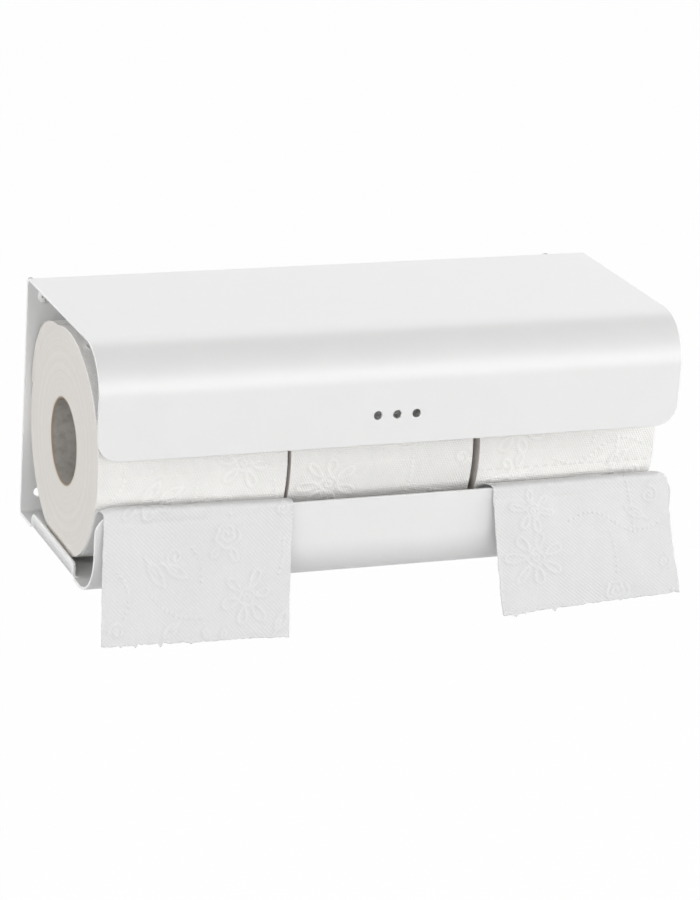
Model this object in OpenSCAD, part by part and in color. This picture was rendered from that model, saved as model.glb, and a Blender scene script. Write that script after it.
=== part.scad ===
// Triple toilet roll holder: one folded steel sheet, screwed to a wall, that holds
// three rolls side by side under a cover, above a tray with a front lip.
// Origin: on the wall plane, midway along the holder, level with the tray's underside.
// +X to the right along the holder, -Y out of the wall, +Z up.

/* [Rolls] */
// Diameter of a full roll
roll_d = 119; // [100:0.5:135]
// Width of a roll, along its axis
roll_w = 99.5; // [90:0.5:110]
// Rounding of the wound paper's outer edges
roll_edge_r = 1.2; // [0.4:0.1:3]
// Inner diameter of the cardboard core
core_bore_d = 43.9; // [35:0.1:55]
// Wall of the cardboard core
core_wall = 0.8; // [0.5:0.1:1.5]
// Play between the core and the first turn of paper
core_gap = 0.1; // [0.05:0.05:0.3]

/* [Sheet metal] */
// Thickness of the sheet
sheet_t = 1.5; // [1:0.1:2]
// Outer radius of the tight bends at the wall and at the end tabs
tight_r = 3; // [2.2:0.1:5]
// Outer radius of the wide bend at the front of the cover
cover_r = 25; // [8:0.5:35]
// Outer radius of the wide bend at the front of the tray
tray_r = 24; // [8:0.5:35]

/* [Holder] */
// Free length along the holder that the row of rolls leaves between the end tabs
row_play = 13.5; // [4:0.5:30]
// Clearance of the rolls from the back plate and from the tray floor
seat_gap = 0.3; // [0.2:0.05:0.5]
// Free height over a roll, which lets it be lifted over an end tab
over_gap = 7.7; // [5:0.1:20]
// Free depth between a roll and the lip
front_gap = 8.2; // [5:0.1:20]
// How far the cover's flap stands behind the lip
cover_setback = 2; // [0:0.5:6]
// Height of the flap's lower edge over the tray's underside
flap_bottom_z = 73; // [62:0.5:85]
// Radius of the flap's lower corners
flap_corner_r = 12; // [2:0.5:20]
// Height of the lip's upper edge over the tray's underside
lip_top_z = 46; // [40:0.5:55]
// Radius of the lip's upper corners
lip_corner_r = 10; // [2:0.5:14]

/* [End tabs] */
// Height of an end tab's upper edge over the tray's underside
tab_h = 9; // [6:0.5:14]
// Distance of an end tab's rear end from the wall
tab_rear = 21.7; // [12:0.1:35]
// Flat floor left between an end tab's front end and the tray's wide bend
tab_front_gap = 9.5; // [4:0.5:20]
// Radius of an end tab's upper corner towards the wall
tab_rear_r = 5; // [1:0.5:6]
// Radius of an end tab's upper corner towards the front
tab_front_r = 1.5; // [0.5:0.5:6]
// Width of the relief notch at each end of a tab's bend
relief_w = 1.5; // [1:0.1:3]

/* [Holes] */
// Diameter of the four screw holes
screw_hole_d = 5; // [4.4:0.1:6.5]
// Distance of the screw holes from the ends of the back plate
hole_inset = 9.5; // [7:0.5:20]
// Height of the lower screw holes over the tray's underside
low_hole_z = 12; // [8:0.5:20]
// Distance of the upper screw holes below the top of the cover
high_hole_drop = 10; // [8.5:0.5:20]
// Diameter of the sight holes in the flap
sight_hole_d = 4.5; // [3:0.1:8]
// Spacing of the sight holes
sight_pitch = 10.5; // [9:0.5:20]
// Number of sight holes
sight_count = 3; // [1:1:7]
// Height of the sight holes over the flap's lower edge
sight_rise = 15.7; // [8:0.1:24]

/* [Screws] */
// Diameter of a screw's threaded shank
shank_d = 4; // [3:0.1:4.3]
// Length of a screw under its head
screw_len = 32; // [20:1:60]
// Length of a screw's point
point_len = 5; // [3:0.5:8]
// Diameter of the smooth neck under a screw's head
neck_d = 3.2; // [2.4:0.1:3.8]
// Length of the neck that stands out behind the back plate
neck_past = 2; // [1:0.5:6]
// Diameter of a screw's head
head_d = 8; // [7:0.1:10]
// Height of a screw's domed head
head_h = 2.2; // [1.8:0.1:3]
// Height of the straight rim of a screw's head
head_rim_h = 0.5; // [0.3:0.1:0.8]
// Width of the slots of the cross recess
cross_w = 0.9; // [0.6:0.1:1.2]
// Length of the slots of the cross recess
cross_len = 4.2; // [3:0.1:5]
// Depth of the cross recess
cross_depth = 1.2; // [0.8:0.1:1.4]

/* [Loose turns] */
// Height of the bulge that the left roll's loose outer turns make
loose_h = 6.3; // [2:0.1:7.5]
// Clearance of the loose turns from the roll that turns under them
loose_gap = 0.3; // [0.2:0.05:0.5]
// Thickness of the loose turns at the ends of the bulge
loose_end_t = 0.5; // [0.3:0.1:1]
// Direction of the bulge's middle, in degrees up from straight out of the wall
loose_a = 138; // [130:1:145]
// Half of the angle that the bulge spans, in degrees
loose_half = 40; // [30:1:42]

/* [Tissue tails] */
// Thickness of the embossed tissue
tissue_t = 0.5; // [0.3:0.05:0.8]
// Clearance of a tail from its roll and from the lip
tissue_gap = 0.3; // [0.2:0.05:0.5]
// Length of the left tail in front of the lip
left_hang = 63; // [20:1:110]
// Length of the right tail in front of the lip
right_hang = 63.7; // [20:0.1:110]
// How far the right tail has slipped to the right where it crosses the lip
right_slip = 4.2; // [0:0.1:5]
// Turn of the left tail in its own plane, in degrees
left_turn = -2; // [-5:0.1:5]
// Turn of the right tail in its own plane, in degrees
right_turn = 3.7; // [-5:0.1:6]
// How far the left tail's lower corners swing out in front of the lip, left and right
left_swing = [12, 9.9]; // [0:0.1:20]
// How far the right tail's lower corners swing out in front of the lip, left and right
right_swing = [14.7, 17.7]; // [0:0.1:20]

/* [Hidden] */

// Smoothness of round features
$fn = 96;
// Overrun of every cutter past the face that it cuts
over = 1;

// Rolls in the row, and how the row's play is shared: at the left tab and between rolls
rolls = 3;
play_shares = [0.156, 0.137, 0.281];

// Overall sizes of the holder, worked out around the rolls
holder_w = rolls * roll_w + row_play + 2 * sheet_t;
holder_h = roll_d + seat_gap + over_gap + 2 * sheet_t;
tray_d = roll_d + seat_gap + front_gap + 2 * sheet_t;
cover_d = tray_d - cover_setback;

// Ends of an end tab, measured from the wall
tab_front = tray_d - tray_r - tab_front_gap;

// Places of the screw holes
hole_x = holder_w / 2 - hole_inset;
high_hole_z = holder_h - high_hole_drop;

// The rolls' common axis, and the left end of each roll
roll_y = -(sheet_t + seat_gap + roll_d / 2);
roll_z = sheet_t + seat_gap + roll_d / 2;
row_x = -holder_w / 2 + sheet_t;
left_x = row_x + play_shares[0] * row_play;
middle_x = left_x + roll_w + play_shares[1] * row_play;
right_x = middle_x + roll_w + play_shares[2] * row_play;

core_d = core_bore_d + 2 * core_wall;
paper_bore_d = core_d + 2 * core_gap;

// Angle from the bulge's middle at which the loose turns end, and the steps of their outline
loose_end_a = loose_half * acos(sqrt((loose_gap + loose_end_t) / loose_h)) / 90;
loose_steps = 30;

// A tail's path in the plane square to the rolls, as distances from the wall and heights.
// It lies on the roll, leaves it at the tangent, turns over the lip and hangs.
wrap_r = roll_d / 2 + tissue_gap + tissue_t / 2;
fold_r = sheet_t / sqrt(2) + tissue_gap + tissue_t / 2;
roll_c = [-roll_y, roll_z];
fold_c = [tray_d - sheet_t / 2, lip_top_z - sheet_t / 2];
to_fold = fold_c - roll_c;
leave_a = atan2(to_fold[1], to_fold[0]) - acos((wrap_r + fold_r) / norm(to_fold));
run_len = sqrt(pow(norm(to_fold), 2) - pow(wrap_r + fold_r, 2));
fold_a = 180 + leave_a;
// Angle that a tail keeps on its roll below the tangent
wrap_a = 14;
// Arc lengths at which a tail leaves the roll, reaches the lip and starts to hang
leave_s = wrap_r * wrap_a * PI / 180;
fold_s = leave_s + run_len;
hang_s = fold_s + fold_r * fold_a * PI / 180;

// Steps of a tail along each stretch of its path, and across it
wrap_steps = 2;
run_steps = 3;
fold_steps = 6;
hang_steps = 9;
tail_rows = wrap_steps + run_steps + fold_steps + hang_steps;
tail_cols = 14;
// Share of the hanging length in which a tail takes up its turn
turn_share = 0.3;
// Power by which a tail's swing grows towards its lower edge
swing_power = 1.25;
// Share of the lip's rounded corner that a tail sags down with
sag_share = 0.9;

function smooth(t) = let (c = min(1, max(0, t))) c * c * (3 - 2 * c);

// Arc length of row i of a tail that hangs down by hang
function row_s(i, hang) =
    i <= wrap_steps ? leave_s * i / wrap_steps
    : i <= wrap_steps + run_steps ? leave_s + run_len * (i - wrap_steps) / run_steps
    : i <= tail_rows - hang_steps
        ? fold_s + (hang_s - fold_s) * (i - wrap_steps - run_steps) / fold_steps
    : hang_s + hang * (i - tail_rows + hang_steps) / hang_steps;

// Direction across the tissue at arc length s, away from the roll
function side_at(s) =
    s <= leave_s ? let (a = leave_a - (leave_s - s) / wrap_r * 180 / PI) [cos(a), sin(a)]
    : s <= fold_s ? [cos(leave_a), sin(leave_a)]
    : s <= hang_s ? let (a = fold_a - (s - fold_s) / fold_r * 180 / PI) [-cos(a), -sin(a)]
    : [-1, 0];

// Middle of the tissue at arc length s
function path_at(s) =
    s <= leave_s ? roll_c + wrap_r * side_at(s)
    : s <= fold_s
        ? roll_c + wrap_r * side_at(s) + (s - leave_s) * [-sin(leave_a), cos(leave_a)]
    : s <= hang_s ? fold_c - fold_r * side_at(s)
    : fold_c + [fold_r, hang_s - s];

// Drop of the lip's edge at x, where its corners are rounded
function lip_drop(x) =
    let (past = min(lip_corner_r, max(0, abs(x) - holder_w / 2 + lip_corner_r)))
    lip_corner_r - sqrt(pow(lip_corner_r, 2) - pow(past, 2));

// Point of a tail at row i, column j, offset across the tissue by side times half of it
function tail_point(i, j, side, x0, hang, slip, turn, swing) =
    let (
        s = row_s(i, hang),
        w = (1 - cos(180 * j / tail_cols)) / 2,
        p = path_at(s) + side * tissue_t / 2 * side_at(s),
        near = smooth((s - leave_s) / (hang_s - leave_s)),
        h = max(0, s - hang_s),
        q = h / hang,
        a = turn * smooth(q / turn_share),
        x = x0 + w * roll_w + slip * near,
        drop = sag_share * lip_drop(x) * near * (1 - q)
    )
    [
        x + h * sin(a) - (1 - cos(a)) * w * roll_w,
        -(p[0] + (swing[0] * (1 - w) + swing[1] * w) * pow(q, swing_power)),
        p[1] - drop + (1 - cos(a)) * h + sin(a) * w * roll_w * q
    ];

// Number of the point at row i and column j, on the roll's side (0) or the outer side (1)
function at(side, i, j) = (side * (tail_rows + 1) + i) * (tail_cols + 1) + j;

// Two triangles of the patch with corners a, b, c and d
function patch(a, b, c, d) = [[a, b, c], [a, c, d]];

module tail(x0, hang, slip, turn, swing) {
    color("whitesmoke")
    polyhedron(
        points = [
            for (side = [-1, 1], i = [0 : tail_rows], j = [0 : tail_cols])
                tail_point(i, j, side, x0, hang, slip, turn, swing)
        ],
        faces = [
            for (i = [0 : tail_rows - 1], j = [0 : tail_cols - 1])
                each concat(
                    patch(at(0, i, j), at(0, i + 1, j), at(0, i + 1, j + 1), at(0, i, j + 1)),
                    patch(at(1, i, j), at(1, i, j + 1), at(1, i + 1, j + 1), at(1, i + 1, j))
                ),
            for (i = [0 : tail_rows - 1])
                each concat(
                    patch(at(0, i, 0), at(1, i, 0), at(1, i + 1, 0), at(0, i + 1, 0)),
                    patch(
                        at(0, i, tail_cols), at(0, i + 1, tail_cols),
                        at(1, i + 1, tail_cols), at(1, i, tail_cols)
                    )
                ),
            for (j = [0 : tail_cols - 1])
                each concat(
                    patch(at(0, 0, j), at(0, 0, j + 1), at(1, 0, j + 1), at(1, 0, j)),
                    patch(
                        at(0, tail_rows, j), at(1, tail_rows, j),
                        at(1, tail_rows, j + 1), at(0, tail_rows, j + 1)
                    )
                )
        ]
    );
}

// Section of a bend of the sheet: a quarter ring of outer radius r about the origin,
// in the quadrant that sx and sy (1 or -1) name
module quarter_bend(r, sx, sy) {
    intersection() {
        difference() {
            circle(r);
            circle(r - sheet_t);
        }
        scale([sx, sy]) square(r + over);
    }
}

// Section of the folded sheet, with the distance from the wall along x and height along y
module holder_section() {
    // Back plate
    translate([0, tight_r]) square([sheet_t, holder_h - 2 * tight_r]);
    // Bends at the wall
    translate([tight_r, tight_r]) quarter_bend(tight_r, -1, -1);
    translate([tight_r, holder_h - tight_r]) quarter_bend(tight_r, -1, 1);
    // Cover, its wide bend and its flap
    translate([tight_r, holder_h - sheet_t]) square([cover_d - cover_r - tight_r, sheet_t]);
    translate([cover_d - cover_r, holder_h - cover_r]) quarter_bend(cover_r, 1, 1);
    translate([cover_d - sheet_t, flap_bottom_z])
        square([sheet_t, holder_h - cover_r - flap_bottom_z]);
    // Tray floor, its wide bend and its lip
    translate([tight_r, 0]) square([tray_d - tray_r - tight_r, sheet_t]);
    translate([tray_d - tray_r, tray_r]) quarter_bend(tray_r, 1, -1);
    translate([tray_d - sheet_t, tray_r]) square([sheet_t, lip_top_z - tray_r]);
}

// What rounds a corner off a plate that faces the front: the corner's tip is at x, z,
// and sx and sz say on which side of it, in x and z, the plate lies
module corner_cutter(x, z, r, sx, sz) {
    translate([x + sx * r, -cover_d + sheet_t + over, z + sz * r])
        rotate([90, 0, 0])
        linear_extrude(2 * over + sheet_t + cover_setback)
        difference() {
            scale([-sx, -sz]) square(r + over);
            circle(r);
        }
}

// What rounds an upper corner off an end tab: the corner is at y, and sy says on which
// side of it, in y, the tab lies
module tab_corner_cutter(y, r, sy) {
    translate([holder_w / 2 - sheet_t - over, y + sy * r, tab_h - r])
        rotate([90, 0, 90])
        linear_extrude(sheet_t + 2 * over)
        difference() {
            scale([-sy, 1]) square(r + over);
            circle(r);
        }
}

// One end tab, at the right end: folded up from the floor and rounded at its upper corners
module end_tab() {
    difference() {
        translate([holder_w / 2 - tight_r, -tab_rear, tight_r])
            rotate([90, 0, 0])
            linear_extrude(tab_front - tab_rear) {
                quarter_bend(tight_r, 1, -1);
                translate([tight_r - sheet_t, 0]) square([sheet_t, tab_h - tight_r]);
            }
        tab_corner_cutter(-tab_rear, tab_rear_r, -1);
        tab_corner_cutter(-tab_front, tab_front_r, 1);
    }
}

module holder() {
    color("white") {
        difference() {
            translate([-holder_w / 2, 0, 0])
                rotate([90, 0, 90])
                linear_extrude(holder_w)
                mirror([1, 0, 0])
                holder_section();
            // Floor taken away where an end tab is folded up, with its relief notches
            for (end = [-1, 1])
                translate([
                    end * (holder_w / 2 - tight_r + (tight_r + over) / 2),
                    -(tab_front + tab_rear) / 2,
                    sheet_t / 2
                ])
                    cube(
                        [tight_r + over, tab_front - tab_rear + 2 * relief_w, sheet_t + 2 * over],
                        center = true
                    );
            // Rounded corners of the flap and of the lip
            for (end = [-1, 1]) {
                corner_cutter(end * holder_w / 2, flap_bottom_z, flap_corner_r, -end, 1);
                corner_cutter(end * holder_w / 2, lip_top_z, lip_corner_r, -end, -1);
            }
            // Screw holes
            for (x = [-hole_x, hole_x], z = [low_hole_z, high_hole_z])
                translate([x, over, z])
                    rotate([90, 0, 0])
                    cylinder(h = sheet_t + 2 * over, d = screw_hole_d);
            // Sight holes in the flap
            for (i = [0 : sight_count - 1])
                translate([
                    (i - (sight_count - 1) / 2) * sight_pitch,
                    -cover_d + sheet_t + over,
                    flap_bottom_z + sight_rise
                ])
                    rotate([90, 0, 0])
                    cylinder(h = sheet_t + 2 * over, d = sight_hole_d);
        }
        end_tab();
        mirror([1, 0, 0]) end_tab();
    }
}

// A screw through an upper hole, with its head on the back plate and its point in the wall
module screw(x) {
    dome_h = head_h - head_rim_h;
    dome_r = (pow(head_d / 2, 2) + pow(dome_h, 2)) / (2 * dome_h);
    color("white")
    translate([x, -sheet_t, high_hole_z])
        rotate([90, 0, 0]) {
            difference() {
                union() {
                    cylinder(h = head_rim_h, d = head_d);
                    intersection() {
                        translate([0, 0, head_h - dome_r]) sphere(dome_r);
                        translate([0, 0, head_rim_h]) cylinder(h = head_h, d = head_d);
                    }
                }
                for (turn = [0, 90])
                    rotate(turn)
                        translate([-cross_len / 2, -cross_w / 2, head_h - cross_depth])
                        cube([cross_len, cross_w, cross_depth + over]);
            }
            mirror([0, 0, 1]) cylinder(h = sheet_t + neck_past, d = neck_d);
            translate([0, 0, point_len - screw_len])
                cylinder(h = screw_len - point_len - sheet_t - neck_past, d = shank_d);
            translate([0, 0, point_len - screw_len])
                mirror([0, 0, 1])
                cylinder(h = point_len, d1 = shank_d, d2 = 0);
        }
}

module core(x) {
    color("tan")
    translate([x, roll_y, roll_z])
        rotate([0, 90, 0])
        difference() {
            cylinder(h = roll_w, d = core_d);
            translate([0, 0, -over]) cylinder(h = roll_w + 2 * over, d = core_bore_d);
        }
}

// The wound paper, as the ring that its section sweeps about the roll's axis
module paper_roll(x) {
    color("whitesmoke")
    translate([x, roll_y, roll_z])
        rotate([0, 90, 0])
        rotate_extrude() {
            translate([paper_bore_d / 2, 0])
                square([roll_d / 2 - roll_edge_r - paper_bore_d / 2, roll_w]);
            translate([paper_bore_d / 2, roll_edge_r])
                square([(roll_d - paper_bore_d) / 2, roll_w - 2 * roll_edge_r]);
            for (z = [roll_edge_r, roll_w - roll_edge_r])
                translate([roll_d / 2 - roll_edge_r, z]) circle(roll_edge_r);
        }
}

// The loose outer turns, as a crescent that keeps its place while the roll turns
module loose_turns(x) {
    angles = [
        for (i = [0 : loose_steps]) loose_a + (2 * i / loose_steps - 1) * loose_end_a
    ];
    function outline_at(a, r) = [-r * cos(a), r * sin(a)];
    function bulge(a) = loose_h * pow(cos(90 * (a - loose_a) / loose_half), 2);
    color("whitesmoke")
    translate([x, roll_y, roll_z])
        rotate([90, 0, 90])
        linear_extrude(roll_w)
        polygon(concat(
            [for (a = angles) outline_at(a, roll_d / 2 + bulge(a))],
            [
                for (i = [loose_steps : -1 : 0])
                    outline_at(angles[i], roll_d / 2 + loose_gap)
            ]
        ));
}

module screw_left() screw(-hole_x);
module screw_right() screw(hole_x);

module core_left() core(left_x);
module core_middle() core(middle_x);
module core_right() core(right_x);

module paper_roll_left() paper_roll(left_x);
module paper_roll_middle() paper_roll(middle_x);
module paper_roll_right() paper_roll(right_x);

module loose_turns_left() loose_turns(left_x);

module tissue_tail_left() tail(left_x, left_hang, 0, left_turn, left_swing);
module tissue_tail_right() tail(right_x, right_hang, right_slip, right_turn, right_swing);

holder();
screw_left();
screw_right();
core_left();
core_middle();
core_right();
paper_roll_left();
paper_roll_middle();
paper_roll_right();
loose_turns_left();
tissue_tail_left();
tissue_tail_right();
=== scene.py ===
import math

import bmesh
import bpy
import numpy as np
from mathutils import Matrix, Vector
from mathutils.geometry import delaunay_2d_cdt


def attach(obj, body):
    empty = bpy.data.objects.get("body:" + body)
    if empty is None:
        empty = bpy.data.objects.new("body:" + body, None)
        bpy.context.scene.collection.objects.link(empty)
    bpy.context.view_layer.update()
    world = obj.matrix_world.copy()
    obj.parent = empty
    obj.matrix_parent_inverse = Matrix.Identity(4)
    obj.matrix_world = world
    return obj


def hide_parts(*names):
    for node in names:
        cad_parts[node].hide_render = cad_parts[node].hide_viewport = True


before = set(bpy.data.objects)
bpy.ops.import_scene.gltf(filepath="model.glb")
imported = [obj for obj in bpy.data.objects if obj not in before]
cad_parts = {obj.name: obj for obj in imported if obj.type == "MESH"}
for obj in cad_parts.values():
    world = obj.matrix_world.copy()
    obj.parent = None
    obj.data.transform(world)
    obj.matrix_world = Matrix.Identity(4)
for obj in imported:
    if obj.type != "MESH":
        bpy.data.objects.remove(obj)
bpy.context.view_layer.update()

MM = 0.001

# Camera at the photograph's angle. Angles in degrees, lengths in metres.
CAMERA_PLACE = (-0.6491522, -1.6460985, 0.642373)
CAMERA_YAW = 22.371
CAMERA_PITCH = 19.184
CAMERA_ROLL = -3.822
CAMERA_LENS = 138.4
CAMERA_REACH = 50.0
SENSOR = 36.0


def make_camera():
    """Camera whose right, up and back axes come from the yaw, pitch and roll, in that order."""
    yaw, pitch, roll = np.radians([CAMERA_YAW, CAMERA_PITCH, CAMERA_ROLL])
    ahead = np.array([np.sin(yaw) * np.cos(pitch), np.cos(yaw) * np.cos(pitch), -np.sin(pitch)])
    level = np.array([np.cos(yaw), -np.sin(yaw), 0.0])
    down = np.cross(ahead, level)
    right = np.cos(roll) * level + np.sin(roll) * down
    down = np.cos(roll) * down - np.sin(roll) * level
    data = bpy.data.cameras.new("camera")
    data.lens = CAMERA_LENS
    data.sensor_width = SENSOR
    data.sensor_height = SENSOR
    data.sensor_fit = "AUTO"
    data.clip_end = CAMERA_REACH
    camera = bpy.data.objects.new("camera", data)
    turn = np.eye(4)
    turn[:3, 0], turn[:3, 1], turn[:3, 2] = right, -down, -ahead
    turn[:3, 3] = CAMERA_PLACE
    camera.matrix_world = Matrix(turn.tolist())
    bpy.context.scene.collection.objects.link(camera)
    bpy.context.scene.camera = camera


make_camera()

# Sizes of the part in millimetres, as its source gives them
ROLL_D = 119.0
ROLL_W = 99.5
CORE_BORE_D = 43.9
CORE_D = 45.5
PAPER_BORE_D = 45.7
SHEET_T = 1.5
TIGHT_R = 3.0
COVER_R = 25.0
TRAY_R = 24.0
HOLDER_W = 315.0
HOLDER_H = 130.0
TRAY_D = 130.5
COVER_D = 128.5
FLAP_BOTTOM_Z = 73.0
FLAP_CORNER_R = 12.0
LIP_TOP_Z = 46.0
LIP_CORNER_R = 10.0
TAB_H = 9.0
TAB_REAR = 21.7
TAB_FRONT = 97.0
TAB_REAR_R = 5.0
TAB_FRONT_R = 1.5
RELIEF_W = 1.5
HOLE_X = 148.0
SCREW_HOLES_Z = (12.0, 120.0)
SCREW_HOLE_D = 5.0
SIGHT_HOLE_D = 4.5
SIGHT_PITCH = 10.5
SIGHT_Z = 88.7
ROLL_Y = -61.3
ROLL_Z = 61.3
ROLLS = {"left": -153.894, "middle": -52.545, "right": 50.749}

# Mesh making

WAVE_LENGTHS = (0.6, 1.7)


def put_mesh(name, points, faces, materials, loop_uv=None, normals=None, face_material=None,
             marks=None, close=False):
    """New object named name from points in millimetres and faces as rows of point numbers.

    loop_uv gives one pair for each corner of each face, normals one direction for each point,
    face_material one number for each face, and marks one value for each point by name.
    close fills the openings that the faces leave."""
    faces = np.asarray(faces, dtype=np.int32)
    corners = faces.shape[1]
    mesh = bpy.data.meshes.new(name)
    mesh.vertices.add(len(points))
    mesh.vertices.foreach_set("co", (np.asarray(points) * MM).astype(np.float32).ravel())
    mesh.loops.add(faces.size)
    mesh.loops.foreach_set("vertex_index", faces.ravel())
    mesh.polygons.add(len(faces))
    mesh.polygons.foreach_set("loop_start", np.arange(len(faces), dtype=np.int32) * corners)
    mesh.polygons.foreach_set("loop_total", np.full(len(faces), corners, dtype=np.int32))
    if face_material is not None:
        mesh.polygons.foreach_set("material_index", np.asarray(face_material, dtype=np.int32))
    if loop_uv is not None:
        layer = mesh.uv_layers.new(name="paper_run")
        layer.data.foreach_set("uv", (np.asarray(loop_uv) * MM).astype(np.float32).ravel())
    for mark, values in (marks or {}).items():
        attribute = mesh.attributes.new(mark, "FLOAT", "POINT")
        attribute.data.foreach_set("value", np.asarray(values, dtype=np.float32))
    mesh.update(calc_edges=True)
    if close:
        work = bmesh.new()
        work.from_mesh(mesh)
        bmesh.ops.holes_fill(work, edges=[edge for edge in work.edges if edge.is_boundary])
        work.to_mesh(mesh)
        work.free()
    mesh.shade_smooth()
    if normals is not None:
        mesh.normals_split_custom_set_from_vertices(np.asarray(normals).tolist())
    for material in materials:
        mesh.materials.append(material)
    piece = bpy.data.objects.new(name, mesh)
    bpy.context.scene.collection.objects.link(piece)
    return piece


def grid_faces(rows, cols, ring_rows=False, ring_cols=False):
    """Four-cornered faces of a grid of rows by cols points, closed into a ring along either way.

    Also gives each corner's row and column, counted on past the last at a ring's seam."""
    i, j = np.meshgrid(np.arange(rows - (not ring_rows)), np.arange(cols - (not ring_cols)),
                       indexing="ij")
    row = np.stack([i, i + 1, i + 1, i], -1).reshape(-1, 4)
    col = np.stack([j, j, j + 1, j + 1], -1).reshape(-1, 4)
    return (row % rows) * cols + col % cols, row, col


def smooth(t):
    """Rises from 0 to 1 with level ends, 3 t squared less 2 t cubed, and is held outside."""
    t = np.clip(t, 0.0, 1.0)
    return t * t * (3.0 - 2.0 * t)


def slow_waves(u, v, seed, reach, terms=7):
    """Gentle unevenness: a sum of sine waves of random direction and phase, reach mm long."""
    rng = np.random.default_rng(seed)
    total = np.zeros(np.broadcast(u, v).shape)
    for _ in range(terms):
        heading, phase = rng.uniform(0.0, 2.0 * np.pi, 2)
        length = reach * rng.uniform(*WAVE_LENGTHS)
        along = (u * np.cos(heading) + v * np.sin(heading)) / length
        total += np.sin(2.0 * np.pi * along + phase)
    return total / math.sqrt(terms)


def within_sides(side, margin, fade):
    """1 over the paper's width, and level down to 0 at margin from its two side edges."""
    return smooth((side - margin) / fade) * smooth((ROLL_W - margin - side) / fade)


def about_rolls(x, r, a):
    """Points at x along the rolls, r from their axis and at the angle a up from the front."""
    return np.stack([x, ROLL_Y - r * np.cos(a), ROLL_Z + r * np.sin(a)], -1).reshape(-1, 3)


# Node helpers

SOCKETS = {"value": "NodeSocketFloat", "colour": "NodeSocketColor", "vector": "NodeSocketVector"}


def add_node(tree, kind, inputs=(), **settings):
    """Node of that kind, with its settings, and inputs that are a value or an output socket."""
    made = tree.nodes.new(kind)
    for key, value in settings.items():
        setattr(made, key, value)
    for key, value in dict(inputs).items():
        if isinstance(value, bpy.types.NodeSocket):
            tree.links.new(value, made.inputs[key])
        else:
            made.inputs[key].default_value = value
    return made


def calc(tree, operation, a, b=0.0, c=0.0):
    """Output of a Math node on a, b and c."""
    return add_node(tree, "ShaderNodeMath", {0: a, 1: b, 2: c}, operation=operation).outputs[0]


def new_group(name, inputs, outputs):
    """Empty shader group with named sockets. Gives the tree, its inputs and its output node."""
    tree = bpy.data.node_groups.new(name, "ShaderNodeTree")
    for label, kind in inputs:
        tree.interface.new_socket(name=label, in_out="INPUT", socket_type=SOCKETS[kind])
    for label, kind in outputs:
        tree.interface.new_socket(name=label, in_out="OUTPUT", socket_type=SOCKETS[kind])
    return tree, tree.nodes.new("NodeGroupInput").outputs, tree.nodes.new("NodeGroupOutput")


def use_group(tree, group, inputs):
    """The group placed in a material, with its own values."""
    return add_node(tree, "ShaderNodeGroup", inputs, node_tree=group).outputs


def marked(tree, name):
    """The mark of that name, which put_mesh has laid on the points."""
    return add_node(tree, "ShaderNodeAttribute", attribute_name=name).outputs["Fac"]


def remap(tree, value, start, end, low, high):
    """Goes evenly from low to high as value goes from start to end, and is held outside."""
    return add_node(tree, "ShaderNodeMapRange", {
        "Value": value, "From Min": start, "From Max": end, "To Min": low, "To Max": high,
    }).outputs[0]


def noise(tree, scale, detail, **place):
    """Noise at a Vector in space, or at W along a line."""
    inputs = {"Scale": scale, "Detail": detail, **place}
    dimensions = "1D" if "W" in place else "3D"
    return add_node(tree, "ShaderNodeTexNoise", inputs, noise_dimensions=dimensions).outputs[0]


def feed(tree, node, sources):
    """Links each source to the node's socket of that name."""
    for label, source in sources.items():
        tree.links.new(source, node.inputs[label])


def make_grain():
    """Even grain: coarse and fine noise added at set shares. Mask is the coarse noise alone."""
    tree, given, out = new_group(
        "even_grain",
        [("Place", "vector"), ("Coarse", "value"), ("Fine", "value"), ("Fine share", "value")],
        [("Height", "value"), ("Mask", "value")],
    )
    coarse = noise(tree, given["Coarse"], 1.0, Vector=given["Place"])
    fine = noise(tree, given["Fine"], 2.0, Vector=given["Place"])
    both = calc(tree, "MULTIPLY_ADD", fine, given["Fine share"], coarse)
    feed(tree, out, {"Height": both, "Mask": coarse})
    return tree


def make_weave():
    """Pressed weave of the tissue: a sine wave along the vector First, and Crossing times one
    along Second. The vectors give the waves per metre along and across the paper."""
    tree, given, out = new_group(
        "pressed_weave",
        [("Run", "vector"), ("First", "vector"), ("Second", "vector"), ("Crossing", "value")],
        [("Height", "value")],
    )
    waves = []
    for name in ("First", "Second"):
        turns = add_node(tree, "ShaderNodeVectorMath", {0: given["Run"], 1: given[name]},
                         operation="DOT_PRODUCT").outputs["Value"]
        waves.append(calc(tree, "SINE", calc(tree, "MULTIPLY", turns, 2.0 * math.pi)))
    feed(tree, out, {"Height": calc(tree, "MULTIPLY_ADD", waves[1], given["Crossing"],
                                    waves[0])})
    return tree


SWAY_SCALE = 45.0
FINE_TURN_SCALE = 1500.0
BROAD_TURN_SCALE = 340.0


def make_turn_rings():
    """Edges of the paper's turns: bands across the radius, which wander a little round the roll."""
    tree, given, out = new_group(
        "turn_edges",
        [("Run", "vector"), ("Place", "vector"), ("Wander", "value")],
        [("Height", "value"), ("Mask", "value")],
    )
    radius = add_node(tree, "ShaderNodeSeparateXYZ", {0: given["Run"]}).outputs["Y"]
    sway = noise(tree, SWAY_SCALE, 2.0, Vector=given["Place"])
    moved = calc(tree, "MULTIPLY_ADD", sway, given["Wander"], radius)
    fine = noise(tree, FINE_TURN_SCALE, 1.0, W=moved)
    broad = noise(tree, BROAD_TURN_SCALE, 2.0, W=moved)
    feed(tree, out, {"Height": fine, "Mask": broad})
    return tree


GRAIN = make_grain()
WEAVE = make_weave()
TURN_RINGS = make_turn_rings()


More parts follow.
